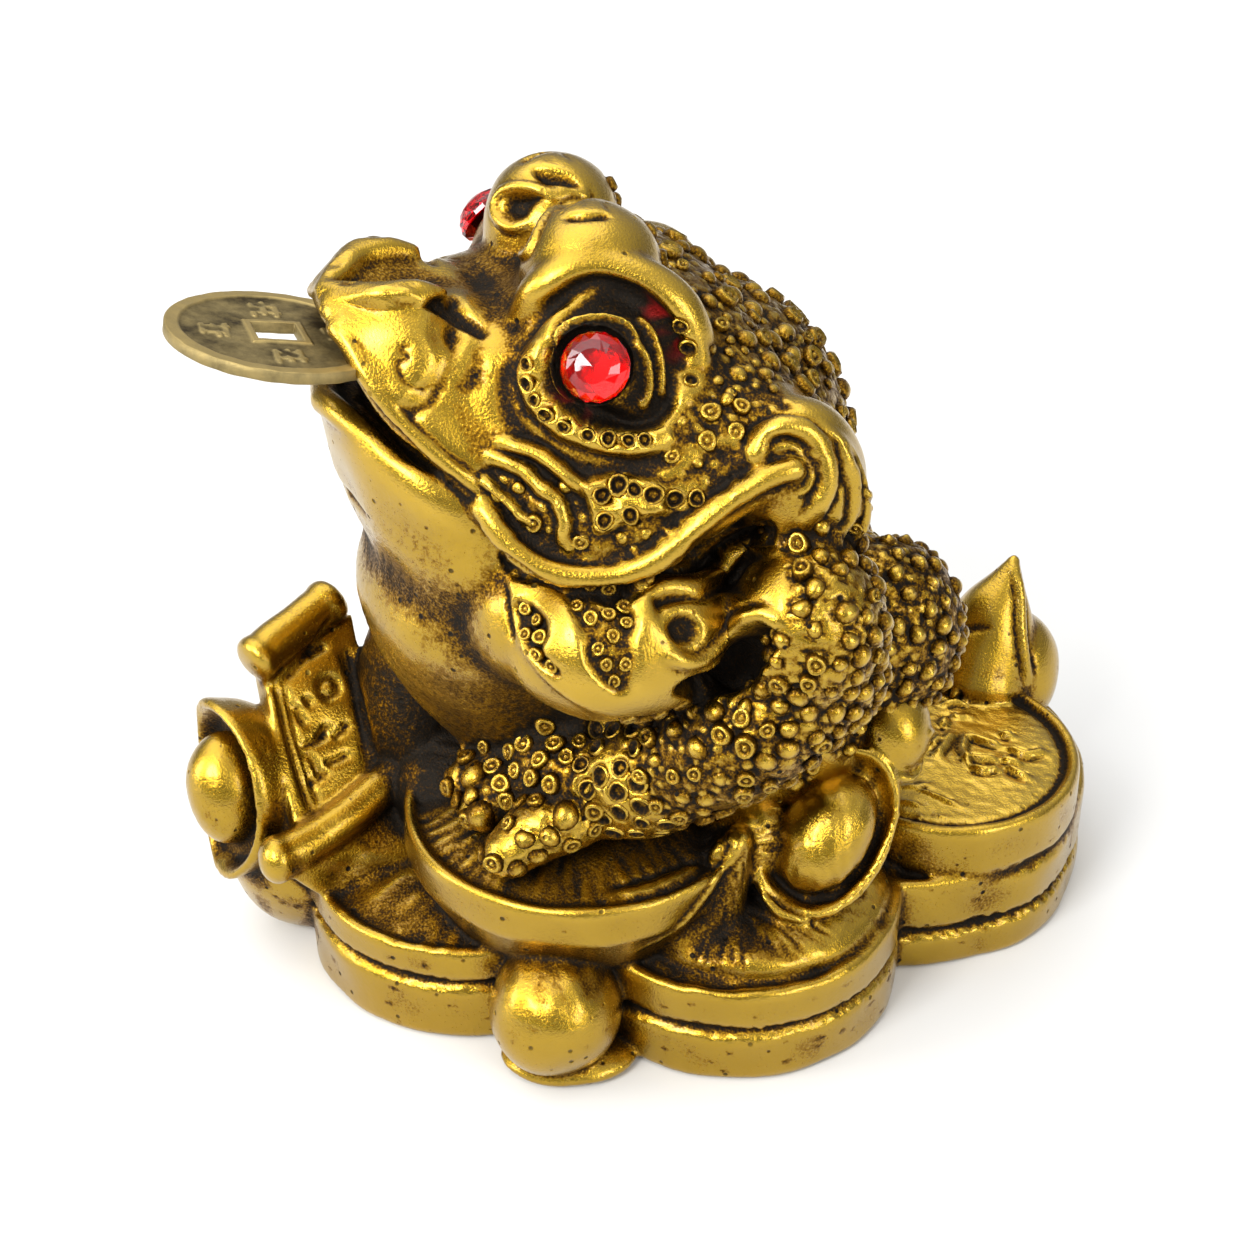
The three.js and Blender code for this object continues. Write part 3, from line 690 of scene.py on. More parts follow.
noseMarks = {
    "plate": [(318, 300), (326, 290), (350, 289), (380, 283), (410, 284), (430, 298), (438, 316),
              (432, 335), (441, 355), (435, 374), (424, 391), (408, 402), (400, 418), (381, 399),
              (361, 374), (348, 349), (331, 322)],
    "trough": [(332, 284), (350, 272), (374, 262), (402, 257), (424, 262), (432, 276), (410, 280),
               (380, 279), (350, 286)],
    "notch": [(420, 309), (438, 296), (457, 293), (467, 306), (487, 326), (483, 340), (463, 331),
              (444, 319)],
    "valley": [(446, 312), (462, 320), (468, 334), (462, 352), (452, 372), (446, 392), (432, 412),
               (412, 422), (405, 406), (422, 398), (438, 376), (445, 356), (438, 336)],
    "leaf": [(386, 293), (394, 289), (408, 286), (418, 292), (413, 300), (400, 301), (390, 297),
             (386, 293)],
    "wear": [(412, 344), (402, 350), (407, 358), (399, 364), (402, 376), (408, 384), (419, 388),
             (428, 384)],
    "lipEdge": [(318, 298), (331, 322), (348, 349), (361, 374), (380, 399), (400, 421), (435, 454),
                (455, 470), (484, 492)],
    "gum": [(324, 348), (345, 362), (366, 388), (392, 417), (420, 446), (450, 472), (482, 494), (478, 510),
            (448, 492), (415, 464), (386, 432), (360, 406), (336, 392), (320, 374)],
}
cheekMarks = {
    "ground": [(474, 474), (490, 460), (530, 456), (560, 474), (600, 484), (650, 478), (690, 460),
               (722, 440), (752, 455), (760, 478), (742, 500), (712, 522), (672, 546), (626, 560),
               (580, 560), (540, 548), (505, 522), (482, 496)],
    "saddle": [(450, 262), (472, 250), (498, 266), (512, 296), (503, 330), (494, 352), (498, 380),
               (484, 398), (462, 400), (450, 386), (458, 368), (464, 345), (470, 325), (460, 292)],
    "temple": [(702, 335), (728, 340), (760, 372), (790, 392), (800, 414), (770, 420), (752, 445),
               (722, 440), (690, 452), (668, 434), (674, 405), (694, 390), (706, 362)],
    "ridges": [([(502, 442), (516, 446), (535, 452), (555, 465), (572, 480), (584, 490)], 1.6),
               ([(492, 458), (522, 470), (540, 487), (557, 500), (564, 520), (562, 538), (568, 547)], 1.6),
               ([(484, 480), (505, 500), (517, 512), (526, 524)], 1.2)],
    "patch": [(581, 485), (595, 475), (619, 472), (640, 477), (664, 483), (668, 500), (664, 515),
              (640, 520), (624, 525), (608, 534), (595, 532), (588, 512)],
    "holes": [(603, 495), (618, 484), (634, 488), (652, 495), (604, 520), (632, 515), (674, 499),
              (696, 499)],
    "rings": [(533, 525), (581, 544), (712, 412), (742, 405), (706, 440), (736, 432), (672, 456)],
    "smile": [(483, 507), (501, 539), (533, 565), (576, 579), (619, 576), (656, 560), (693, 528),
              (725, 501), (763, 480), (797, 469)],
}
earMarks = {
    "rim": [(757, 460), (757, 444), (766, 430), (786, 424), (808, 432), (824, 453), (829, 480), (821, 504),
            (808, 522)],
    "bands": [([(842, 452), (852, 474), (855, 498), (849, 522), (838, 540)], 1.7, 0.5),
              ([(858, 470), (868, 494), (872, 522), (868, 552)], 0.9, 0.4),
              ([(778, 448), (795, 446), (810, 458), (815, 473), (809, 487), (796, 496)], 1.0, 0.35)],
}
legMarks = {
    "plate": [(507, 568), (512, 624), (526, 661), (558, 694), (608, 717), (656, 715), (688, 700),
              (715, 673), (738, 642), (757, 620), (740, 592), (700, 592), (662, 604), (640, 616),
              (600, 596), (552, 582)],
    "shade": [(500, 548), (560, 586), (630, 588), (690, 566), (730, 536), (770, 520), (776, 548),
              (740, 548), (715, 574), (660, 584), (640, 600), (600, 596), (552, 588), (512, 580)],
    "windows": [[(514, 606), (528, 602), (548, 618), (549, 635), (544, 651), (563, 671), (555, 675),
                 (536, 661), (521, 640)],
                [(568, 590), (604, 586), (638, 586), (638, 613), (634, 640), (634, 667), (628, 687),
                 (613, 690), (588, 667), (581, 635), (571, 613)]],
    "seam": [(503, 556), (509, 600), (513, 640)],
    "oval": [(664, 630), (670, 618), (684, 614), (696, 622), (698, 636), (688, 646), (673, 644)],
    "gap": [(672, 693), (683, 677), (713, 665), (736, 638), (757, 625), (778, 635), (771, 661), (747, 686),
            (704, 698)],
    "strands": [([(648, 630), (642, 600), (660, 587), (693, 586), (719, 572), (735, 553), (757, 546),
                  (776, 549)], 2.6, 1.2),
                ([(660, 652), (690, 661), (715, 647), (733, 629), (757, 614), (774, 620)], 1.7, 0.9)],
}
handMarks = {
    "curls": [(546, 726), (540, 759), (567, 757), (515, 770), (501, 783), (506, 801), (581, 784),
              (595, 809), (550, 784), (536, 800), (524, 744)],
    "tips": [(473, 777), (482, 818), (567, 816)],
}
throatFolds = [[(0, -36.5, 64.6), (5, -35.5, 64.8), (9, -32.8, 65.4), (12, -29.3, 66.2)],
               [(0, -33.6, 57.9), (6, -32.4, 58.4), (10, -29.1, 59.7), (14, -25.8, 62.4)]]


def carveEyes(r):
    # the socket, lids, folds and rings, the far mound's marks, and red tints beside the gem
    r.groove(r.cast(eyeMarks["outerGroove"]), 2.4, 0.6, stain=0.45)
    # the socket's dark and the brow edge's dark groove: patina, with painted shadow cast by the brow
    r.ground(r.area(eyeMarks["socket"], 0.7), 0.9, 0.62, 0.5)
    r.groove(r.cast(eyeMarks["browEdge"]), 1.5, 0.9, stain=0.6)
    r.ridge(r.cast(eyeMarks["upperLid"]), 0.65, 0.45, stain=0.15)
    for line in eyeMarks["folds"]:
        r.ridge(r.cast(line), 0.9, 0.5, stain=0.7)
    r.ridge(r.cast(eyeMarks["lidBand"]), 2.5, 1.1)
    index, distance, _ = r.around(smoothLine(r.cast(eyeMarks["gap"]), 6), 2.5)
    r.height[index] -= 0.8 * bell(distance, 0.7)
    r.stain[index] += 0.6 * bell(distance, 0.8)
    r.studs(r.cast(eyeMarks["lidRings"]), 0.76, 0.5, ("hole",))
    r.studs(r.cast(eyeMarks["browRings"]), 0.85, 0.5, ("hole",))
    r.groove(r.cast(eyeMarks["slit"]), 0.9, 0.9, stain=0.7)
    for line in eyeMarks["star"]:
        r.groove(r.cast(line), 0.7, 0.25)
    for line in eyeMarks["redTints"]:
        index, distance, _ = r.around(smoothLine(r.cast(line), 6), 2.0)
        r.red[index] += 0.9 * bell(distance, 0.7) * step(-0.4, 0.6, r.uneven[index])
    for outline in (farMound["crescent"], farMound["spiral"]):
        r.ground(r.area(outline, 0.8, far=True), 1.3, 0.3, 0.3)
    r.ridge(r.cast(farMound["rim"]), 1.2, 0.5)


def carveNose(r):
    # the snout's plate, its troughs and edge, and the gum under the lip
    r.ground(r.area(cheekMarks["saddle"], 2.6), 0.4, 0.24)
    r.ground(r.area(noseMarks["trough"], 1.0), 0.7, 0.12, 0.3)
    r.ground(r.area(noseMarks["valley"], 1.8), 1.0, 0.3)
    r.height += 0.5 * r.area(noseMarks["plate"], 0.9)
    r.ground(r.area(noseMarks["notch"], 0.8), 1.1, 0.5)
    r.groove(r.cast(noseMarks["leaf"]), 0.6, 0.2)
    r.groove(r.cast(noseMarks["wear"]), 0.7, 0.25)
    r.ground(r.area(noseMarks["gum"], 0.6), 0.3, 0.45)
    r.ridge(r.cast(noseMarks["lipEdge"]), 1.5, 0.45)


def carveCheeks(r):
    # grainy cheek and temple with their ridges, holes and rings, the ear and the throat's folds
    r.ground(r.area(cheekMarks["ground"], 1.2), 0.45, 0.34)
    r.ground(r.area(cheekMarks["temple"], 1.2), 0.3, 0.36)
    ground = (r.area(cheekMarks["ground"], 0.6) > 0.9) | (r.area(cheekMarks["temple"], 0.6) > 0.9)
    r.studs(r.scatter(ground, 1.7, 21, 0.5), 0.5, 0.2, vary=0.4, seed=22)
    for line, width in cheekMarks["ridges"]:
        r.ridge(r.cast(line), width, 0.9)
    patch = r.area(cheekMarks["patch"], 0.6)
    r.height += 1.2 * patch
    r.stain *= 1 - 0.8 * patch
    r.studs(r.cast(cheekMarks["holes"]), 0.98, 0.6, ("hole",))
    r.studs(r.cast(cheekMarks["rings"]), 1.0, 0.45, ("ringed", "curl"))
    for line, width, height in earMarks["bands"]:
        r.ridge(r.cast(line), width, height, moat=0.7, edge=0.4)
    r.ridge(r.cast(earMarks["rim"]), 2.2, 0.8, moat=0.5, edge=0.4)
    r.ridge(r.cast(cheekMarks["smile"]), 2.7, 0.45, moat=0.6, taper=0.06)
    for line in throatFolds:
        r.groove(np.array(line), 1.2, 0.8, stain=0.35)


def carveShoulder(r):
    # the shoulder's plate with its windows, oval and gap, and the strands across it
    r.height += 0.6 * r.area(legMarks["plate"], 0.7)
    # the outline under the smile's roll is sunk and darkened: patina, with painted shade under the roll
    r.ground(r.area(legMarks["shade"], 0.7), 0.9, 0.5)
    spots = r.scatter(r.area(legMarks["shade"], 0.4) > 0.9, 1.5, 23)
    r.studs(spots, 0.55, 0.35, ("dome", "ringed"), seed=24)
    for outline in legMarks["windows"]:
        r.ground(r.area(outline, 0.4), 0.8, 0.38)
        r.studs(r.scatter(r.area(outline, 0.3) > 0.9, 1.8, 4), 0.8, 0.4, ("curl", "ringed"))
    r.ground(r.area(legMarks["oval"], 0.5), 1.0, 0.4)
    # the gap between plate and forearm is sunk and darkened: painted shade between the parts
    r.ground(r.area(legMarks["gap"], 1.0), 3.0, 0.8)
    for line, width, height in legMarks["strands"]:
        r.ridge(r.cast(line), width, height)
    r.groove(r.cast(legMarks["seam"]), 0.6, 0.5, stain=0.7)


def carveLimbs(r):
    # elbow, arm, wrist, hand and haunch, each with its own warts, and crumbs between them
    x, y, z = r.place.T
    elbow = (np.linalg.norm((r.place - (28.6, 5, 56)) / (8.8, 8.4, 9.8), axis=1) < 1.25) & (x > 23)
    elbow &= (r.pixel[:, 0] > 738) & ~((r.pixel[:, 0] < 785) & (r.pixel[:, 1] < 640))
    arm = (z < 50) & (z > 30) & (x > 14) & (y < 9) & (y > -15) & ~elbow
    wrist = np.linalg.norm((r.place - (20.5, -10.5, 35)) / 6.4, axis=1) < 1.12
    hand = (y < -12) & (z > 25.5) & (z < 40) & (x < 24) & (x > 3) & ~wrist
    haunch = (y > 11) & (z > 33) & (z < 57) & (x > 7)
    r.ground(r.links.smooth((arm | haunch).astype(float), 4), 0.1, 0.55)
    r.ground(r.links.smooth((elbow & ~arm).astype(float), 4), 0.1, 0.3)
    r.ground(r.links.smooth(hand.astype(float), 4), 0, -0.12)
    r.studs(r.scatter(elbow, 2.45, 5, 0.4), 1.05, 0.7, ("ringed", "dome", "dome"), vary=0.25, seed=2)
    spots = r.scatter(arm & ~wrist & (x > 19), 2.65, 6, 0.4)
    r.studs(spots, 1.1, 0.6, ("ringed", "ringed", "dome"), vary=0.2, seed=3)
    r.height += 0.35 * r.links.smooth(wrist.astype(float), 3)
    r.stain -= 0.12 * r.links.smooth(wrist.astype(float), 3)
    r.studs(r.scatter(wrist & (z > 30), 2.55, 7), 1.15, 0.55, ("hole",), seed=13)
    curls, tips = r.cast(handMarks["curls"]), r.cast(handMarks["tips"])
    r.studs(curls, 1.15, 0.5, ("curl", "ringed"), seed=15)
    r.studs(tips, 1.7, 1.0, vary=0.1)
    for spot in (*curls, *tips):
        hand &= np.linalg.norm(r.place - spot, axis=1) > 2.2
    spots = r.scatter(hand & (r.facing[:, 2] > -0.2), 2.7, 8)
    r.studs(spots, 1.05, 0.5, ("curl", "dome", "ringed"), seed=14)
    r.studs(r.scatter(haunch, 2.6, 9), 1.05, 0.7, ("dome", "point"), seed=4)
    crumbs = (elbow | arm | haunch) & (r.height < 0.1) & ~wrist
    r.studs(r.scatter(crumbs, 1.5, 25, 0.6), 0.4, 0.16, vary=0.4, seed=26)


def carveBack(r):
    # large warts and crumbs on the back, clear of the ear and the brow
    x, y, z = r.place.T
    back = ((y > -2) & (z > 54) & (x < 21)) | ((y > -5) & (z > 70) & (x < 19))
    back |= (y > 12) & (z > 40) & (x < 9)
    ear = np.linalg.norm((r.place - (22.5, 5.8, 70.2)) / (7.5, 8.5, 11), axis=1) < 1
    line = np.array([brow[0][i] for i in (2, 3, 4, 5)])
    back &= ~ear & ((r.pixel[:, 0] > 700) | (r.normal[:, 1] > 0)) & (lineDistance(r.place, line)[0] > 3.4)
    r.ground(r.links.smooth(back.astype(float), 4), 0.15, 0.34)
    r.studs(r.scatter(back, 3.1, 10, 0.4), 1.15, 0.75, ("dome", "ringed", "dome", "curl"), vary=0.3, seed=5)
    r.studs(r.scatter(back & (r.height < 0.1), 1.6, 27, 0.6), 0.45, 0.22, vary=0.4, seed=28)


def carvedToad():
    # the toad's form with a grainy front, then its marks, group by group
    r = Relief(toadForm(), True, 0.08)
    x, y, z = r.place.T
    front = r.links.smooth(((y < -12) & (x < 21) & (z < 72)).astype(float), 8)
    r.ground(front * step(74, 60, z), 0, 0.2, 0.6)
    r.ground(front * step(50, 34, z), 0, 0.3, 0.8)
    r.ground(front * step(5, 17, x) * step(68, 52, z), 0, 0.2, 0.6)
    carveEyes(r)
    carveNose(r)
    carveCheeks(r)
    print("head carved")
    carveShoulder(r)
    carveLimbs(r)
    carveBack(r)
    print("limbs and back carved")
    return r


def wartForms(relief, side, around=12, seed=31):
    # for one side of the form: rings of points about each wart's normal, at its kind's heights, a little
    # uneven round about and closed below
    warts = [w for w in relief.warts if side > 0 or w[2] > 0.9]
    flip = np.array([side, 1, 1])
    rng = np.random.default_rng(seed)
    place, normal = (np.array([w[i] for w in warts]) * flip for i in (0, 1))
    place = np.array([relief.tree.find_nearest(p)[0] for p in place.tolist()])
    place += normal * np.array([w[5] for w in warts])[:, None]
    radius, height = (np.array([w[i] for w in warts])[:, None, None] for i in (2, 3))
    normal += rng.uniform(-0.12, 0.12, normal.shape)
    normal /= np.linalg.norm(normal, axis=1)[:, None]
    across, other = crossways(normal)
    profile, stain = (np.array([wartKinds[w[4]][i] for w in warts]) for i in (0, 1))
    a = np.linspace(0, 2 * np.pi, around, endpoint=False)
    phase = rng.uniform(0, 2 * np.pi, (3, len(warts), 1))
    uneven = 1 + 0.08 * np.sin(2 * a + phase[0]) + 0.05 * np.sin(3 * a + phase[1])
    out = radius * np.array(wartRings)[None, :, None] * uneven[:, None, :]
    curled = np.array([w[4] == "curl" for w in warts])[:, None]
    gap = curled * bell(np.angle(np.exp(1j * (a - phase[2]))), 0.6)
    rise = height * (profile[:, 1:, None] - 0.6 * gap[:, None, :] * (np.arange(6) == 3)[None, :, None])
    rings = (place[:, None, None] + out[..., None] * (np.cos(a)[:, None] * across[:, None, None]
             + np.sin(a)[:, None] * other[:, None, None]) + rise[..., None] * normal[:, None, None])
    top = place + normal * (height * profile[:, :1, None])[:, 0]
    bottom = place - normal * height[:, 0] * np.array([[2.6 if w[4] == "hole" else 0.6] for w in warts])
    marks = np.hstack([stain[:, :1], np.repeat(stain[:, 1:], around, axis=1), stain[:, -1:]])
    return joined([skin(rings[i], top[i], bottom[i]) for i in range(len(warts))]), marks.ravel()


# the treasure under it
base = {
    # each stack's x, y and radius, and the heights of its coins' tops; the side stack is on both sides
    "front": (0, -24.5, 19.5), "frontTops": (8.3, 13.2),
    "side": (16.4, 2.5, 19.6), "sideTops": (7.3, 13.2),
    "rear": (0, 29, 25), "rearTops": (5.4, 13.2),
    "rearTop": (8.6, 32.7, 16.4), "rearTopTops": (5.4, 12.3, 19.8), "rearFace": 14.2,
    "seat": (8.7, -13.6, 20.4), "seatBand": 5.6, "seatZ": 24.0, "stackTop": 13.2,
    "joint": 1.1, "jointWidth": 1.5, "rim": 1.7, "rimDepth": 0.8,
    "egg": (9.4, 13.4), "ball": 7.5,
    "voxel": 0.34, "rounds": 3, "triangles": 196000,
}
# the ingots: each one's middle, the way it opens, its long axis and its own sizes
sideSizes = {"length": 10.8, "width": 7.2, "eggSize": (10.2, 14.6), "hollow": 0.16}
ingots = [
    [(24, 10.4, 24), (0.8, -0.25, 0.55), (-0.285, 0.643, 0.71), sideSizes],
    [(18.4, 19.8, 33), (0.72, 0.3, 0.62), (-0.3, 0.12, 0.94),
     {"length": 7, "width": 4.2, "depth": 9, "eggSize": (9, 11.4)}],
    [(-9.6, -50.5, 21.4), (0.25, -0.95, 0.15), (-0.41, 0.45, 0.8), {"length": 11, "depth": 8}],
    [(-5.2, 47.7, 19), (0.5, 0.85, 0.1), (-0.1, 0.1, 1),
     {"length": 9.6, "depth": 8, "eggSize": (12.4, 16)}],
    [(-24, 10.4, 24), (-0.8, -0.25, 0.55), (0.285, 0.643, 0.71), sideSizes],
]


def rimmed(radius, top, dome):
    # a half-round rim, then a face that rises by the dome's height toward the middle, as [radius, height]
    inner, face = radius - base["rim"], top - base["rimDepth"]
    roll = [[radius, top - 0.9], [radius - 0.18, top - 0.35], [radius - 0.55, top], [radius - 1.0, top],
            [radius - 1.4, top - 0.35], [inner, face]]
    crown = [[inner * share, face + dome * (1 - share ** 2)] for share in (0.93, 0.8, 0.6, 0.4, 0.2, 0)]
    return roll + crown


def coinStack(x, y, radius, tops, dome=0.0):
    # coins with rounded edges and a deep joint between each two, as one spun profile
    deep, half = base["joint"], base["jointWidth"] / 2
    profile = [[0, 0], [radius - 0.5, 0], [radius, 0.6]]
    for z in tops[:-1]:
        profile += [[radius, z - half - 0.5], [radius - 0.3, z - half], [radius - deep, z - half * 0.4],
                    [radius - deep, z + half * 0.4], [radius - 0.3, z + half], [radius, z + half + 0.5]]
    return turned(profile + rimmed(radius, tops[-1], dome), (x, y))


def seatCoin(side):
    # a spun profile: a foot that widens up from the stacks, an upright edge, and the rimmed, crowned face
    x, y, r = base["seat"]
    top, foot = base["seatZ"], base["stackTop"]
    low = top - base["seatBand"]
    profile = [[0, foot - 2], [r * 0.74, foot - 2], [r * 0.84, foot], [r - 0.5, low], [r, low + 0.7]]
    return turned(profile + rimmed(r, top, 3.4), (side * x, y))


def ingot(center, out, along, length=12.0, width=8.0, depth=7.0, lift=2.0, eggSize=None, hollow=0.25):
    # a boat: rings of length cos by width sin, raised at the ends by lift cos squared, with an egg in the
    # dish whose half section is wide sin by long cos
    n = np.array(out, float) / np.linalg.norm(out)
    s = np.cross(n, along)
    s /= np.linalg.norm(s)
    t = np.cross(s, n)
    a = np.linspace(0, 2 * np.pi, 96, endpoint=False)[:, None]
    c = np.cos(a)

    def ring(size, sink):
        # one oval of the boat, size as a share of its own, sunk by sink
        oval = np.array(center) + t * length * size * c + s * width * size * np.sin(a)
        return oval + n * (lift * (c * size) ** 2 - sink)

    dish = depth * hollow
    sizes = [(0.3, dish), (0.6, dish * 0.95), (0.78, dish * 0.7), (0.84, 0.3), (0.875, -0.45),
             (0.92, -0.85), (0.97, -0.75), (1, -0.25), (1.005, 0.4), (0.985, 1.1)]
    sizes += [(0.97 * np.sqrt(1 - down ** 2), 1.1 + depth * down) for down in np.linspace(0.2, 0.97, 8)]
    rings = np.array([ring(*size) for size in sizes])
    hull = skin(rings, np.array(center) - n * dish, np.array(center) - n * (depth + 1))
    wide, long = eggSize or base["egg"]
    polar = np.linspace(0, np.pi, 30)[1:-1, None]
    b = np.linspace(0, 2 * np.pi, 48, endpoint=False)[None]
    x, y = np.sin(polar) * np.cos(b) * wide / 2, np.sin(polar) * np.sin(b) * wide / 2
    z = np.cos(polar) * long / 2 + 0 * b
    middle = np.array(center) + n * dish * 0.4
    ball = middle + x[..., None] * s + y[..., None] * n + z[..., None] * t
    return [hull, skin(ball, middle + t * long / 2, middle - t * long / 2)]


# the unrolled bill: corners of its face, the line of its upper roll, the ridge and foot of its lower fold
bill = {
    "foot": [(0.3, -45.2, 20.3), (-4.5, -33.4, 21.7)], "head": [(-12.9, -45.3, 34.9), (-18.2, -33.2, 36.7)],
    "thickness": 3.4, "roll": 2.6,
    "rollLine": [(-13.0, -46.4, 35.9), (-18.9, -35.3, 38.7)],
    "ridge": [(2.6, -48, 19), (-0.6, -40.3, 20), (-4.6, -32.4, 21.8)], "fold": 2.5,
    "wedge": [(4, -47.4, 17.8), (-3.4, -31.8, 21), (2.4, -30.4, 14.4), (3.4, -43.6, 12.8)],
}


def slab(corners, away):
    # four corners and the same four moved away, closed between
    corners = np.array(corners, float)
    back = corners + away
    return skin(np.array([corners, back]), corners.mean(0), back.mean(0))


def billForms():
    # the sheet and the wedge under it as slabs, and its rolls as tubes with a thicker ring near each end
    foot, head = np.array(bill["foot"], float), np.array(bill["head"], float)
    normal = np.cross(foot[1] - foot[0], head[0] - foot[0])
    normal /= np.linalg.norm(normal)
    face = [foot[0], foot[1], head[1], head[0]]
    start, end = (np.array(p) for p in bill["rollLine"])
    forms = [slab(face, -normal * bill["thickness"]), slab(bill["wedge"], np.array([-6.0, 0, -3])),
             tube([start, end], [bill["roll"]] * 2, pointed=0.25)]
    way = end - start
    forms += [tube([start + way * a, start + way * b], [bill["roll"] + 0.3] * 2, pointed=0.12)
              for a, b in ((0.02, 0.1), (0.88, 0.98))]
    ridge = bill["ridge"]
    forms += [tube(ridge, [bill["fold"]] * 3, pointed=0.4), egg((-10, -42, 12), (9, 10, 13))]
    forms += [egg(end, (2.9, 2.2, 2.9)) for end in (ridge[0], ridge[-1])]
    return forms


def treasureForm():
    # stacks, seat coins, core, ball and its lip, ingots, bill and folds, under one skin that is softened
    x, y, r = base["side"]
    core = [[0, 0], [21, 0], [21, base["stackTop"]], [16, 21], [0, 21]]
    forms = [
        coinStack(*base["front"], base["frontTops"], 2.6),
        coinStack(x, y, r, base["sideTops"], 3), coinStack(-x, y, r, base["sideTops"], 3),
        coinStack(*base["rear"], base["rearTops"]), coinStack(*base["rearTop"], base["rearTopTops"], 0.5),
        seatCoin(1), seatCoin(-1), turned(core, (0, 6)),
    ]
    forms += [egg((25, -22.2, 8.2), (base["ball"],) * 3)]
    forms += [egg((25.3, -20.6, 1.2), (5.2, 8, 1.7), (0, 0, -13))]
    for center, out, along, sizes in ingots:
        forms += ingot(center, out, along, **sizes)
    forms += [tube([(-5, 44, 20), (-5.6, 46, 28), (-6.2, 48, 34.3)], [7.5, 4.6, 0.8])]
    forms += billForms()
    # the mass that rises behind the bill, and the folds between the seat, the side stack and its ingot
    forms += [egg((-11, -27.5, 24), (9.5, 7.5, 17.5)), egg((-2, -25, 20.5), (8, 8, 8))]
    forms += bothSides([egg((18.5, 4, 13.4), (15, 16, 4.4)), egg((19.2, 2.8, 21.6), (5.6, 7, 6)),
                        tube([(23.8, -0.4, 25.4), (23.2, -2.2, 20), (22.4, -4.6, 14)], [2, 3.8, 6.4])])
    form = softened(remeshed(joined(forms), base["voxel"]), base["rounds"])
    print("treasure:", len(form[0]), "points")
    return form


# marks on the treasure, by pixels of the photo; the strokes stand for inscriptions and spell nothing
billMarks = {
    "sheet": [(276, 680), (330, 612), (352, 622), (370, 698), (378, 768), (312, 816), (288, 745)],
    "borders": [[(276, 684), (290, 745), (311, 810)], [(284, 682), (298, 742), (319, 804)],
                [(330, 616), (344, 662), (359, 715), (368, 772)],
                [(337, 612), (350, 660), (364, 712), (373, 768)],
                [(284, 682), (306, 656), (330, 618)]],
    "strokes": [[(302, 747), (314, 743), (322, 738), (330, 732)], [(322, 738), (328, 724)],
                [(334, 738), (344, 730), (348, 722)], [(306, 750), (314, 762), (320, 776)],
                [(326, 764), (338, 760), (350, 754)], [(310, 784), (318, 780), (330, 770)],
                [(318, 690), (324, 680), (334, 679), (338, 690), (328, 697), (318, 690)],
                [(296, 704), (300, 716), (306, 724)], [(306, 696), (311, 706)],
                [(308, 656), (318, 650), (326, 646)]],
}
seatFolds = [([(612, 900), (661, 884), (716, 853), (747, 823)], 2.0, 0.6),
             ([(640, 950), (690, 918), (716, 880), (744, 838)], 1.4, 0.3)]
hornEdge = [(1016, 570), (1021, 597), (1022, 633), (1028, 682)]
ingotRim = [(764, 872), (774, 890), (790, 903), (814, 911), (840, 904), (862, 887), (878, 862), (888, 830)]
coinMarks = {
    "strokes": [[(966, 736), (982, 741), (1000, 747)], [(966, 757), (980, 760), (996, 760)],
                [(972, 767), (984, 772), (998, 770)], [(966, 736), (963, 750), (968, 764)],
                [(1000, 734), (1012, 737)], [(1008, 748), (1026, 755), (1044, 752)],
                [(1002, 759), (1014, 763), (1020, 762)], [(1007, 768), (1018, 774), (1028, 778)],
                [(930, 733), (944, 722), (958, 717), (970, 716)], [(944, 706), (956, 704), (965, 702)],
                [(956, 690), (953, 699)], [(936, 756), (944, 746), (952, 734)], [(932, 747), (940, 738)]],
    "scratches": [[(920, 790), (938, 797), (960, 806)], [(896, 814), (920, 818), (948, 817)],
                  [(905, 788), (930, 784)], [(902, 802), (920, 806)]],
}


def brushed(r, middle, share, seed):
    # fine striations that run from a middle outward, and dark patina between them
    x, y, z = (r.points - [*middle, 0]).T
    turn, far = np.arctan2(y, x), np.hypot(x, y)
    lines = wobble(np.stack([turn * 16, far * 0.22, z * 0.3], 1), 1.3, seed, 24)
    r.height += 0.08 * share * lines
    r.stain += share * (0.26 - 0.1 * lines)
    r.grit = np.maximum(r.grit, 0.4 * share)


def layGround(r, up):
    # broad areas first: brushed seat coins and core, the dark hill behind the bill, and at both sides the
    # drape, the ingot's dish and the fold between them
    x, y, z = r.points.T
    seatX, seatY, seatRadius = base["seat"]
    for side, seed in ((1, 51), (-1, 52)):
        far = np.hypot(x - side * seatX, y - seatY)
        onFace = up * step(seatRadius - 1.2, seatRadius - 2.2, far) * step(22, 22.8, z)
        brushed(r, (side * seatX, seatY), onFace, seed)
    brushed(r, (0, -8), up * step(11.2, 12, z) * step(20, 18, z) * step(20, 16, y), 53)
    hill = r.blob((-8, -27, 26), (13, 9, 17), 0.2) * step(13.5, 15, z)
    r.ground(hill, 0, 0.8, 0.8)
    worn = r.blob((-9, -46, 16), (15, 11, 16), 0.2)
    r.ground(worn * step(-0.2, 1.1, wobble(r.points, 5, 59)), 0, 0.28, 0.6)
    for side in (1, -1):
        drape = r.blob((side * 23, -1, 18), (10, 17, 9), 0.3) * step(13.3, 14, z)
        drape *= step(20.2, 21.2, np.hypot(x - side * seatX, y - seatY))
        brushed(r, (side * 24, 0), drape, 55)
        dish = r.blob((side * 24, 10.4, 24), (12, 13, 12), 0.2)
        r.stain -= 0.5 * dish
        brushed(r, (side * 34, 6), 0.5 * dish, 56)
        r.ground(r.blob((side * 23, -2.6, 20), (5, 5, 8), 0.4), 0, 0.22, 0.5)


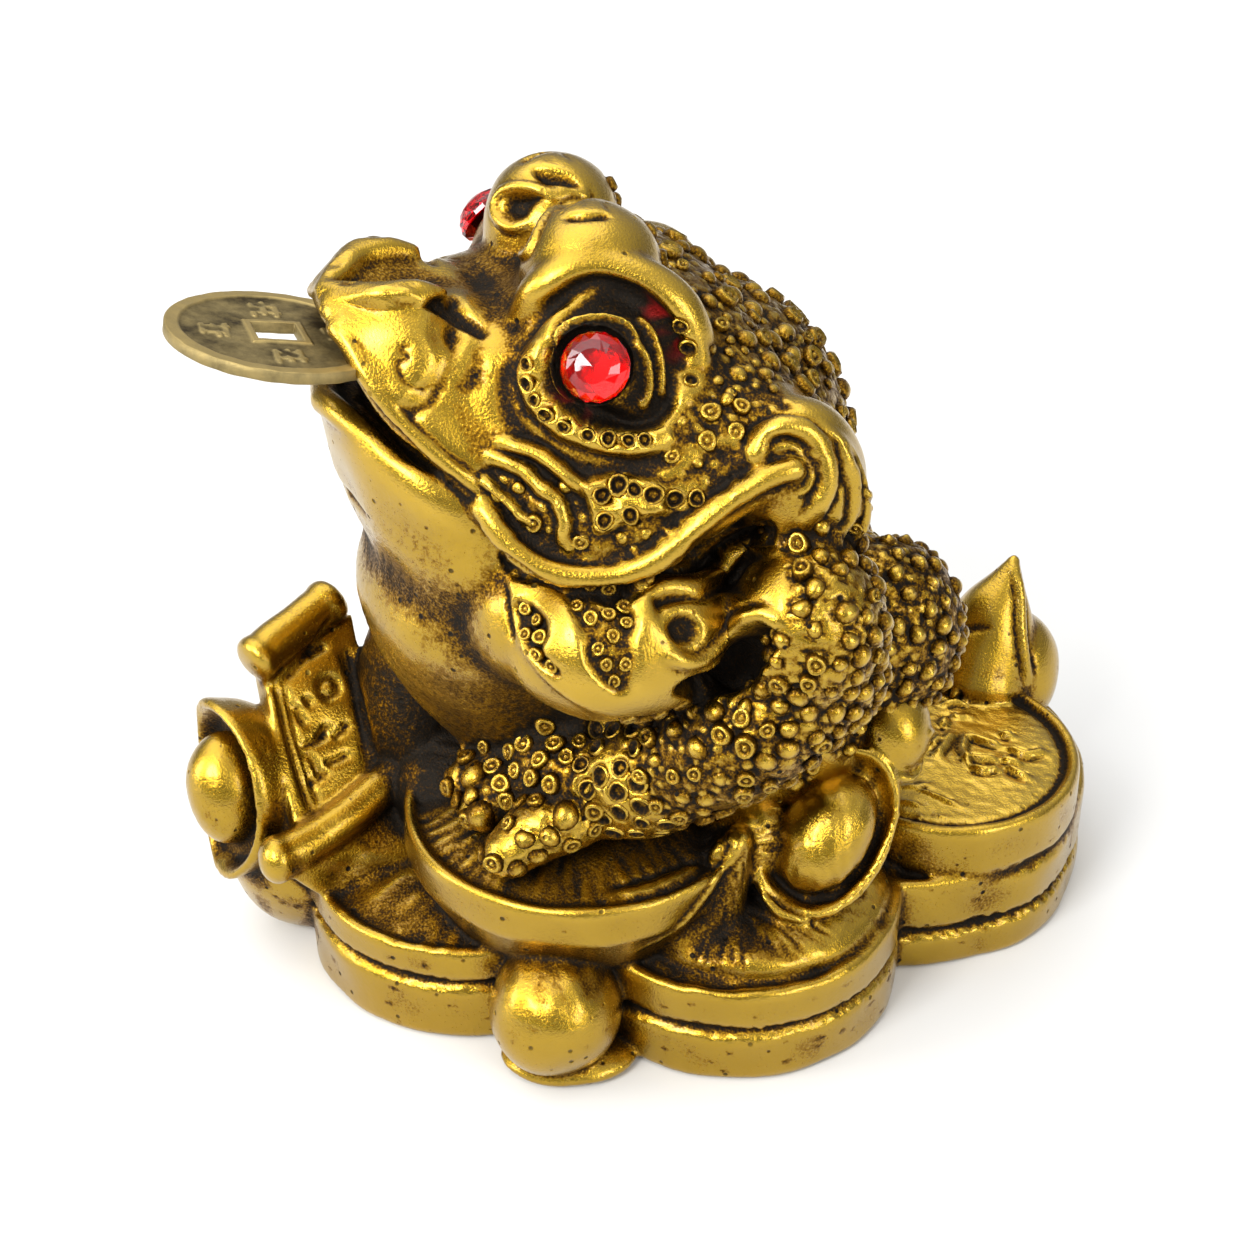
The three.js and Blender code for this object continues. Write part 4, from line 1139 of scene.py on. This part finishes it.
def shadeAndScuffSides(r, up):
    # all that doesn't face up is made darker than the tops, as painted shade, with cloudy patina patches
    # and small scuffs
    scuffs = wobble(r.points * [1, 1, 2.2], 2.4, 57, 24)
    cloudy = 0.16 * step(-0.4, 1.4, wobble(r.points, 8, 58))
    # the even 0.06 on faces that don't look up is painted shade; the cloudy part is patina, the scuffs wear
    r.stain += (0.06 + 0.4 * step(1.1, 1.9, scuffs) + cloudy) * (1 - up)
    r.height -= 0.05 * step(1.25, 2.0, scuffs) * (1 - up)


def carveJoints(r):
    # where one coin of a stack meets the next, the lips are dented and the joint is dark
    x, y, z = r.points.T
    for stack in ("front", "side", "rear", "rearTop"):
        middleX, middleY, radius = base[stack]
        edge = bell(np.hypot(np.abs(x) - middleX, y - middleY) - radius + 0.4, 1.2)
        for level in base[stack + "Tops"][:-1]:
            lip = edge * bell(np.abs(z - level) - base["jointWidth"] / 2 - 0.1, 0.3)
            r.height += 0.1 * lip * wobble(r.points, 1.1, int(level * 10), 24)
            r.stain += 0.4 * edge * bell(z - level, 0.5)


def carveRearCoin(r, up):
    # a pale granular field, worn and in part painted sheen, with a dark groove round it, and raised
    # strokes and scratches
    x, y, z = r.points.T
    top = step(18.6, 18.9, z) * up
    inside = base["rearFace"] - np.hypot(x - base["rearTop"][0], y - base["rearTop"][1])
    face = step(-0.4, 0.4, inside) * top
    grainy = wobble(r.points, 1.1, 54, 24)
    r.height += 0.05 * face * grainy - 0.25 * bell(inside, 0.5) * top
    # the field's stain goes below zero, which gives it the worn bright colour: the pale face and a painted
    # sheen
    r.stain -= face * (0.72 + 0.1 * grainy) - 0.9 * bell(inside, 0.6) * top
    for line in coinMarks["strokes"]:
        r.ridge(r.cast(line), 1.1, 0.8, moat=0.5, edge=1.1)
    for line in coinMarks["scratches"]:
        r.ridge(r.cast(line), 0.7, 0.4, edge=0.9)


def carvedTreasure():
    # the treasure's form, then its marks from the broad ones to the fine ones
    r = Relief(treasureForm(), False, 0.1)
    up = r.links.smooth((r.normal[:, 2] > 0.55).astype(float), 3)
    layGround(r, up)
    shadeAndScuffSides(r, up)
    print("treasure ground laid")
    carveJoints(r)
    for line in billMarks["borders"]:
        r.groove(r.cast(line), 0.8, 0.45, stain=0.35)
    for line in billMarks["strokes"]:
        r.groove(r.cast(line), 1.0, 0.5, stain=0.4)
    carveRearCoin(r, up)
    for line, width, height in seatFolds:
        r.ridge(r.cast(line), width, height, moat=0.5, stain=0.25, edge=0.3)
    r.ridge(r.cast(ingotRim), 1.9, 0.5, moat=0.3, edge=0.1)
    r.ridge(r.cast(hornEdge), 1.5, 0.6, moat=0.5, edge=0.3)
    sheet = r.area(billMarks["sheet"], 0.6)
    r.stain -= 0.36 * sheet + 0.15 * r.blob((-8, -40, 28), (13, 12, 14), 0.2)
    r.stain -= 0.3 * r.blob((2.4, -38.4, 16.4), (4, 9, 4.6), 0.3)
    print("treasure carved")
    return r


# looks
def linear(hexCode):
    # sRGB to linear: a power curve with a straight toe
    c = np.array([int(hexCode[i:i + 2], 16) for i in (1, 3, 5)]) / 255
    return (*np.where(c <= 0.04045, c / 12.92, ((c + 0.055) / 1.055) ** 2.4), 1.0)


def addNode(tree, kind, settings=None, links=None):
    # makes a node, sets its own settings and socket values, and links its inputs from other nodes' outputs
    node = tree.nodes.new(kind)
    for key, value in (settings or {}).items():
        if isinstance(key, str) and hasattr(node, key):
            setattr(node, key, value)
        else:
            node.inputs[key].default_value = value
    for key, source in (links or {}).items():
        tree.links.new(source, node.inputs[key])
    return node


def markNode(tree, name):
    # one of the surface marks that a piece carries, point by point
    return addNode(tree, "ShaderNodeAttribute", {"attribute_name": name}).outputs["Fac"]


def noiseNode(tree, place, size, detail, roughness=0.5):
    # cloudy noise with lumps of about a size in mm
    settings = {"Scale": 1 / (size * mm), "Detail": detail, "Roughness": roughness}
    return addNode(tree, "ShaderNodeTexNoise", settings, {"Vector": place}).outputs["Fac"]


def rangeNode(tree, value, low, high, first, last):
    # runs from first to last while the value runs from low to high
    return addNode(tree, "ShaderNodeMapRange", {1: low, 2: high, 3: first, 4: last}, {0: value}).outputs[0]


def mathNode(tree, operation, *terms, clamp=False):
    # one step of arithmetic on other nodes' outputs and plain numbers
    settings, links = {"operation": operation, "use_clamp": clamp}, {}
    for i, term in enumerate(terms):
        (settings if isinstance(term, float) else links)[i] = term
    return addNode(tree, "ShaderNodeMath", settings, links).outputs[0]


def blendNode(tree, share, color, hexCode):
    # a colour blended toward another one by a share
    return addNode(tree, "ShaderNodeMix", {"data_type": "RGBA", 7: linear(hexCode)},
                   {0: share, 6: color}).outputs[2]


def rampNode(tree, value, stops, look):
    # a look's colours, each at its place along the value
    node = addNode(tree, "ShaderNodeValToRGB", None, {"Fac": value})
    ramp = node.color_ramp
    for at, name in stops:
        ramp.elements.new(at).color = linear(look[name])
    ramp.elements.remove(ramp.elements[0])
    ramp.elements.remove(ramp.elements[-1])
    return node.outputs["Color"]


def bumpNode(tree, height, strength, depth):
    # fine unevenness, its depth in mm
    settings = {"Strength": strength, "Distance": depth * mm}
    return addNode(tree, "ShaderNodeBump", settings, {"Height": height}).outputs[0]


def addSurface(tree, settings, links=None):
    # the shader of a surface, joined to its material's output
    shader = addNode(tree, "ShaderNodeBsdfPrincipled", settings, links)
    addNode(tree, "ShaderNodeOutputMaterial", None, {"Surface": shader.outputs[0]})


def newMaterial(name):
    # an empty material and its node tree
    material = bpy.data.materials.new(name)
    material.use_nodes = True
    tree = material.node_tree
    tree.nodes.clear()
    return material, tree


goldLook = {
    "bright": "#A2811D", "warm": "#835F12", "shade": "#563B0F", "dark": "#30200A", "grimeAndShade": "#140E06",
    "rubbedHighlight": "#C6A33A", "red": "#8E0C0A", "grain": 0.29, "blotch": 6.0, "pit": 2.2, "bumpDepth": 0.2,
}


def goldResin():
    # Cold-cast resin under a sprayed gold finish, wiped with dark patina: a warm, half-bright metal on the
    # high places, with soft highlights, and dull, grainy brown-black in the hollows. The dark mark also
    # carries painted shade, and the worn bright colour a painted highlight.
    material, tree = newMaterial("antique_gold_resin")
    place = addNode(tree, "ShaderNodeTexCoord").outputs["Object"]
    grimeAndShade, rubAndHighlight, redTint = (markNode(tree, name) for name in ("grimeAndShade", "rubAndHighlight", "red"))
    blotch = noiseNode(tree, place, goldLook["blotch"], 5.0, 0.65)
    grain = noiseNode(tree, place, goldLook["grain"], 3.0, 0.6)
    pits = addNode(tree, "ShaderNodeTexVoronoi", {"Scale": 1 / (goldLook["pit"] * mm), "Randomness": 1.0},
                   {"Vector": place}).outputs
    pitChance = mathNode(tree, "GREATER_THAN", pits["Color"], 0.54)
    pit = mathNode(tree, "MULTIPLY", rangeNode(tree, pits["Distance"], 0.07, 0.16, 1.0, 0.0), pitChance)
    uneven = rangeNode(tree, blotch, 0.3, 0.7, -0.06, 0.09)
    speckle = rangeNode(tree, grain, 0.35, 0.68, -0.14, 0.2)
    gritty = rangeNode(tree, grimeAndShade, 0.1, 0.6, 0.8, 1.9)
    spread = mathNode(tree, "MULTIPLY_ADD", speckle, gritty, uneven)
    # dirt holds the patina, the grain and the painted shade of the dark mark
    dirt = mathNode(tree, "ADD", mathNode(tree, "ADD", grimeAndShade, spread), pit, clamp=True)
    stops = ((0.1, "bright"), (0.3, "warm"), (0.52, "shade"), (0.74, "dark"), (0.96, "grimeAndShade"))
    # blended toward the worn bright colour: worn gold, with a painted highlight on high places
    color = blendNode(tree, rubAndHighlight, rampNode(tree, dirt, stops, goldLook), goldLook["rubbedHighlight"])
    rise = mathNode(tree, "MULTIPLY", grain, gritty)
    height = mathNode(tree, "MULTIPLY_ADD", pit, -2.0, rise)
    addSurface(tree, {"Coat Roughness": 0.2}, {
        "Base Color": blendNode(tree, redTint, color, goldLook["red"]),
        "Roughness": rangeNode(tree, dirt, 0.1, 0.7, 0.23, 0.6),
        "Metallic": rangeNode(tree, dirt, 0.5, 0.9, 1.0, 0.8),
        "Coat Weight": rangeNode(tree, dirt, 0.15, 0.4, 0.4, 0.0),
        "Normal": bumpNode(tree, height, 0.46, goldLook["bumpDepth"]),
    })
    return material


def thinned(form, triangles):
    # the faces collapsed to a count, less any two that lie back to back on the same three points
    if len(form[1]) <= triangles:
        return form
    points, tris = worked(form, "DECIMATE", ratio=triangles / len(form[1]))
    alike, times = np.unique(np.sort(tris, 1), axis=0, return_inverse=True, return_counts=True)[1:]
    used, tris = np.unique(tris[times[alike.ravel()] == 1], return_inverse=True)
    return points[used], tris.reshape(-1, 3)


def shelter(form, tree, rays=14, reach=16.0, lift=0.15):
    # the share of a fan of rays about each point's normal that meet the figure within reach
    points, tris = form
    normal = normals(points, tris)
    turn = np.arange(rays) * np.pi * (3 - np.sqrt(5))
    out = np.sqrt((np.arange(rays) + 0.5) / rays)
    side, other = crossways(normal)
    ways = (side[:, None] * (out * np.cos(turn))[:, None] + other[:, None] * (out * np.sin(turn))[:, None]
            + normal[:, None] * np.sqrt(1 - out ** 2)[:, None])
    start = (points + normal * lift).tolist()
    cast = tree.ray_cast
    fans = zip(start, ways.tolist())
    hits = np.array([[cast(p, w, reach)[0] is not None for w in fan] for p, fan in fans])
    return hits.mean(1)


def levels(form):
    # how far each point lies below the mean of its surroundings in mm, at three widths
    points, tris = form
    links = Links(len(points), tris)
    normal = normals(points, tris)
    level, below = points, []
    for rounds in (2, 8, 40):
        level = links.smooth(level, rounds, 0.9)
        below.append(np.einsum("ij,ij->i", level - points, normal))
    return below


def finished(name, form, material, nodes, marks, smooth=True):
    # puts a form in mm into the scene as a piece in metres, with its surface marks as attributes
    points, tris = form
    mesh = newMesh(name, points * mm, tris)
    if smooth:
        mesh.shade_smooth()
    else:
        mesh.shade_flat()
    mesh.materials.append(material)
    for mark, values in marks.items():
        mesh.attributes.new(mark, "FLOAT", "POINT").data.foreach_set("value", values.astype(np.float32))
    piece = bpy.data.objects.new(name, mesh)
    bpy.context.scene.collection.objects.link(piece)
    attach(piece, "root")
    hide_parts(*nodes)
    return piece


def addFigure():
    # patina gathers where a place is stained or lies low; where the figure shelters a place, shade is
    # painted in; high places in the open are worn bright, with a painted highlight
    reliefs = {"toad": (carvedToad(), toad["triangles"]),
               "coins_and_ingots": (carvedTreasure(), base["triangles"])}
    forms = {name: thinned(relief.done(), most) for name, (relief, most) in reliefs.items()}
    both = joined(list(forms.values()))
    tree = BVHTree.FromPolygons(both[0].tolist(), both[1].tolist())
    coarseFaces = 60000
    coarse = thinned(both, coarseFaces)
    dark = Links(len(coarse[0]), coarse[1]).smooth(shelter(coarse, tree), 2)
    coarseTree = BVHTree.FromPolygons(coarse[0].tolist(), coarse[1].tolist())
    print("shelter worked out")
    gold = goldResin()

    def shelterShade(points):
        # the shelter of each point, from the nearest face of the coarse figure
        corners = [coarse[1][coarseTree.find_nearest(p)[2]] for p in points.tolist()]
        return dark[np.array(corners)].mean(1)

    for name, form in forms.items():
        fine, middle, wide = levels(form)
        stain, red = reliefs[name][0].at(form[0])
        shade = shelterShade(form[0])
        # the shelter term is painted shade, laid where the figure hides a place from the room; the rest is
        # patina
        grimeAndShade = stain + 2.2 * fine + 1.2 * middle + 0.14 * wide + 0.5 * step(0.25, 1.0, shade)
        # convex places in the open are worn bright: worn gold, with a painted highlight
        rubAndHighlight = np.clip(-2.0 * fine - 0.9 * middle + 1.5 * np.maximum(-stain, 0), 0, 0.85) * (1 - shade)
        rubAndHighlight *= 1 - step(0.15, 0.6, stain)
        finished(name, form, gold, ["toad_on_treasure"],
                 {"grimeAndShade": np.clip(grimeAndShade, 0, 1), "rubAndHighlight": rubAndHighlight, "red": red})
        print(name, len(form[1]), "triangles")
    halves = [wartForms(reliefs["toad"][0], side) for side in (1, -1)]
    form, stain = joined([half[0] for half in halves]), np.concatenate([half[1] for half in halves])
    shade = shelterShade(form[0])
    # painted shade on the warts where the figure shelters them, over their patina
    grimeAndShade = np.clip(stain + 0.35 * step(0.35, 1.0, shade), 0, 1)
    # wart tops in the open are worn bright: worn gold, with a painted highlight
    rubAndHighlight = np.where(stain < 0.06, 0.7, 0.0) * (1 - shade)
    finished("toad_warts", form, gold, ["toad_on_treasure"],
             {"grimeAndShade": grimeAndShade, "rubAndHighlight": rubAndHighlight, "red": 0 * grimeAndShade})
    print("warts", len(form[1]), "triangles")


addFigure()


# the gems and the loose coin
gem = {"sides": 16, "body": "#D2040F", "foilColor": "#DC3026", "rough": 0.02, "ior": 1.54, "crinkle": 0.6}
looseCoin = {"thickness": 1.3, "diameter": 22.6, "hole": 4.6, "pitch": -12.0, "roll": -4.0,
             "rim": 1.5, "frame": 0.75, "relief": 0.22, "strokes": 6.3, "rows": 84, "around": 288,
             "raised": "#A48F5A", "field": "#8A7A50", "dirt": "#342B1A", "grain": 0.35, "blotch": 4.0}


def gemForms(side):
    # rings of facet corners from a shallow back up to the table, each second ring turned by half a facet
    axis = np.array(gemSeat["axis"]) * [side, 1, 1]
    axis /= np.linalg.norm(axis)
    place = np.array(gemSeat["place"]) * [side, 1, 1]
    u = np.cross([0, 0, 1.0], axis)
    u /= np.linalg.norm(u)
    v = np.cross(axis, u)
    facet = 2 * np.pi / gem["sides"]

    def ring(share, level, turn):
        # a ring of corners: shares of the stone's radius and height, turned by a share of a facet
        a = np.arange(gem["sides"]) * facet + turn * facet
        r, h = share * gemSeat["radius"], level * gemSeat["height"]
        return place + r * np.cos(a)[:, None] * u + r * np.sin(a)[:, None] * v + h * axis

    at = lambda level: place + axis * level * gemSeat["height"]
    stone = [ring(0.3, 0.06, 0.5), ring(0.72, 0.16, 0), ring(0.98, 0.26, 0.5), ring(1, 0.4, 0.5),
             ring(0.93, 0.6, 0), ring(0.76, 0.82, 0.5), ring(0.5, 0.97, 0)]
    foil = [ring(0.97, 0.22, 0.5), ring(0.72, 0.12, 0), ring(0.3, 0.02, 0.5)]
    return skin(np.array(stone), at(0.02), at(1.0)), skin(np.array(foil), at(0.2), at(-0.02))


def redGlass():
    # Cut glass, clear deep red: bright where the foil shows through, dark where a facet turns away.
    material, tree = newMaterial("red_cut_glass")
    addSurface(tree, {"Base Color": linear(gem["body"]), "Roughness": gem["rough"], "IOR": gem["ior"],
                      "Transmission Weight": 1.0})
    return material


def foilBack():
    # Silvering under red lacquer on the back of the stone: a red mirror, slightly crinkled.
    material, tree = newMaterial("silvered_foil")
    place = addNode(tree, "ShaderNodeTexCoord").outputs["Object"]
    crinkle = noiseNode(tree, place, gem["crinkle"], 2.0)
    addSurface(tree, {"Base Color": linear(gem["foilColor"]), "Roughness": 0.22, "Metallic": 1.0},
               {"Normal": bumpNode(tree, crinkle, 0.4, 0.05)})
    return material


def addGems():
    # each eye's stone and its foil
    glass, foil = redGlass(), foilBack()
    for word, side in (("left", 1), ("right", -1)):
        stone, back = gemForms(side)
        node = "eye_gem_" + word
        finished("gem_stone_" + word, stone, glass, [node], {}, smooth=False)
        finished("gem_foil_" + word, back, foil, [node], {}, smooth=False)


addGems()
print("gems set")


def coinStrokes():
    # four groups of short bars about the hole, in the place of an inscription: they spell nothing
    rng = np.random.default_rng(41)
    bars = []
    for turn in range(4):
        a = turn * np.pi / 2
        middle = looseCoin["strokes"] * np.array([np.cos(a), np.sin(a)])
        for row in (-1.2, 0, 1.2):
            shift = rng.uniform(-0.4, 0.4)
            half = rng.uniform(0.9, 1.7)
            end = middle + [shift + half, row + rng.uniform(-0.3, 0.3)]
            bars.append((middle + [shift - half, row], end))
        for column in (-0.8, 0.7):
            low = rng.uniform(-1.7, -0.9)
            bars.append((middle + [column, low], middle + [column + rng.uniform(-0.3, 0.3), low + 2.4]))
    return bars


def coinRelief(x, y, away):
    # 0 in the field and 1 on the rim, on the hole's frame and on the strokes, which are worn in places
    c = looseCoin
    soft, line, lineEdge = 0.15, 0.22, 0.42
    inFrame = np.maximum(np.abs(x), np.abs(y)) - c["hole"] / 2
    inner = c["diameter"] / 2 - c["rim"]
    up = np.maximum(step(c["frame"] + soft, c["frame"] - soft, inFrame),
                    step(inner - soft, inner + soft, away))
    flat = np.stack([x.ravel(), y.ravel()], 1)
    strokes = np.zeros(len(flat))
    for start, end in coinStrokes():
        distance, _ = lineDistance(flat, np.array([start, end]))
        strokes = np.maximum(strokes, step(lineEdge, line, distance))
    worn = wobble(np.c_[flat, 0 * flat[:, 0]], 2.2, 42).reshape(x.shape)
    return np.maximum(up, 0.8 * strokes.reshape(x.shape) * step(-1.2, 0.2, worn)), worn


def coinForm():
    # rows of points from the square hole out to the round rim, once above and once below, raised by the
    # coin's relief
    c = looseCoin
    r, half = c["diameter"] / 2, c["hole"] / 2
    a = np.linspace(0, 2 * np.pi, c["around"], endpoint=False)
    square = half / np.maximum(np.abs(np.cos(a)), np.abs(np.sin(a)))
    t = np.linspace(0, 1, c["rows"])[:, None]
    edge = 0.12
    away = (square + edge) + (r - edge - square - edge) * t
    x, y = away * np.cos(a), away * np.sin(a)
    up, worn = coinRelief(x, y, away)
    level = c["thickness"] / 2 - c["relief"] * (1 - up) - 0.03 * (1 + worn)
    face = np.stack([x, y, level], -1)
    ring = lambda radius, z: np.stack([radius * np.cos(a), radius * np.sin(a), z + 0 * a], -1)[None]
    low = c["thickness"] / 2 - edge
    under = face[::-1] * [1, 1, -1]
    outerEdge = [ring(r, low), ring(r, 0), ring(r, -low)]
    rows = np.concatenate([face, *outerEdge, under, ring(square, -low), ring(square, low)])
    dirt = np.concatenate([1 - up, np.full((3, len(a)), 0.5), (1 - up)[::-1], np.full((2, len(a)), 0.8)])
    count, around = rows.shape[:2]
    i, j = np.meshgrid(np.arange(count), np.arange(around), indexing="ij")
    corner = lambda di, dj: (((i + di) % count) * around + (j + dj) % around).ravel()
    tris = np.vstack([np.stack([corner(0, 0), corner(1, 0), corner(1, 1)], 1),
                      np.stack([corner(0, 0), corner(1, 1), corner(0, 1)], 1)])
    roll, pitch = np.radians(c["roll"]), np.radians(c["pitch"])
    turn = np.array(Matrix.Rotation(roll, 3, "Y") @ Matrix.Rotation(pitch, 3, "X"))
    middle = np.mean([list(point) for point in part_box("mouth_coin")], 0) / mm
    return outward(rows.reshape(-1, 3) @ turn.T + middle, tris), dirt.ravel()


def agedBrass():
    # Struck brass gone brown with handling: dull olive metal, paler where raised, with dark dirt around.
    material, tree = newMaterial("aged_brass")
    place = addNode(tree, "ShaderNodeTexCoord").outputs["Object"]
    dirt = markNode(tree, "grimeAndShade")
    blotch = noiseNode(tree, place, looseCoin["blotch"], 6.0, 0.7)
    grain = noiseNode(tree, place, looseCoin["grain"], 3.0)
    amount = mathNode(tree, "MULTIPLY_ADD", dirt, 0.7, rangeNode(tree, blotch, 0.3, 0.7, -0.3, 0.3))
    stops = ((0.05, "raised"), (0.45, "field"), (0.95, "dirt"))
    addSurface(tree, {"Metallic": 0.85}, {
        "Base Color": rampNode(tree, amount, stops, looseCoin),
        "Roughness": rangeNode(tree, amount, 0.0, 0.8, 0.48, 0.68),
        "Normal": bumpNode(tree, grain, 0.5, 0.06),
    })
    return material


def addCoin():
    # the loose coin in the mouth
    form, dirt = coinForm()
    finished("loose_coin", form, agedBrass(), ["mouth_coin"], {"grimeAndShade": dirt})
    print("coin", len(form[1]), "triangles")


addCoin()


# the studio, in metres and watts: each lamp's place, size and power, and the sky's way, angle and strength
studio = {
    "floor": "#CECECD", "floorHalf": 30.0,
    "sky": ((-0.25, -0.2, 1), 70, 2.0),
    "lamps": {
        "key": ((0.35, -0.55, 0.55), (0.3, 0.3), 5.9),
        "left": ((-0.1, -0.75, 0.3), (0.25, 0.4), 3),
        "fill": ((0.75, 0.35, 0.35), (0.3, 0.4), 3),
    },
}


def addStage():
    # a wide, flat floor of pale matt paper
    material, tree = newMaterial("pale_floor")
    addSurface(tree, {"Base Color": linear(studio["floor"]), "Roughness": 0.9})
    half = studio["floorHalf"]
    corners = np.array([(-half, -half, 0), (half, -half, 0), (half, half, 0), (-half, half, 0)])
    mesh = newMesh("floor", corners, np.array([(0, 1, 2), (0, 2, 3)]))
    mesh.materials.append(material)
    floor = bpy.data.objects.new("floor", mesh)
    bpy.context.scene.collection.objects.link(floor)
    floor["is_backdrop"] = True


def addLight(name, place, size, power, aim=(0, 0, 0.045)):
    # a soft rectangular lamp, turned to face the object
    data = bpy.data.lights.new(name, "AREA")
    data.shape = "RECTANGLE"
    data.size, data.size_y = size
    data.energy = power
    light = bpy.data.objects.new(name, data)
    light.location = place
    light.rotation_euler = (Vector(aim) - Vector(place)).to_track_quat("-Z", "Y").to_euler()
    bpy.context.scene.collection.objects.link(light)


def addSun(name, way, angle, strength):
    # an even light from a wide patch of sky, the same all over the floor
    data = bpy.data.lights.new(name, "SUN")
    data.angle = np.radians(angle)
    data.energy = strength
    light = bpy.data.objects.new(name, data)
    light.rotation_euler = Vector(way).to_track_quat("Z", "Y").to_euler()
    bpy.context.scene.collection.objects.link(light)


def addRoom():
    # soft light from above that fades to a dim horizon, so that the metal has something dark to mirror
    world = bpy.data.worlds.new("room")
    bpy.context.scene.world = world
    world.use_nodes = True
    tree = world.node_tree
    tree.nodes.clear()
    way = addNode(tree, "ShaderNodeTexCoord").outputs["Generated"]
    height = addNode(tree, "ShaderNodeSeparateXYZ", None, {0: way}).outputs["Z"]
    glow = rangeNode(tree, height, -0.05, 0.9, 0.1, 1.0)
    light = addNode(tree, "ShaderNodeBackground", {"Color": (1, 1, 1, 1)}, {"Strength": glow})
    addNode(tree, "ShaderNodeOutputWorld", None, {"Surface": light.outputs[0]})


addStage()
addRoom()
addSun("sky", *studio["sky"])
for name, lamp in studio["lamps"].items():
    addLight(name, *lamp)
bpy.context.scene.view_settings.view_transform = "Standard"  # plain colours, as in a shop photo

sizes = {"cad": cadBox, "visual": [list(corner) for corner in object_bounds()]}
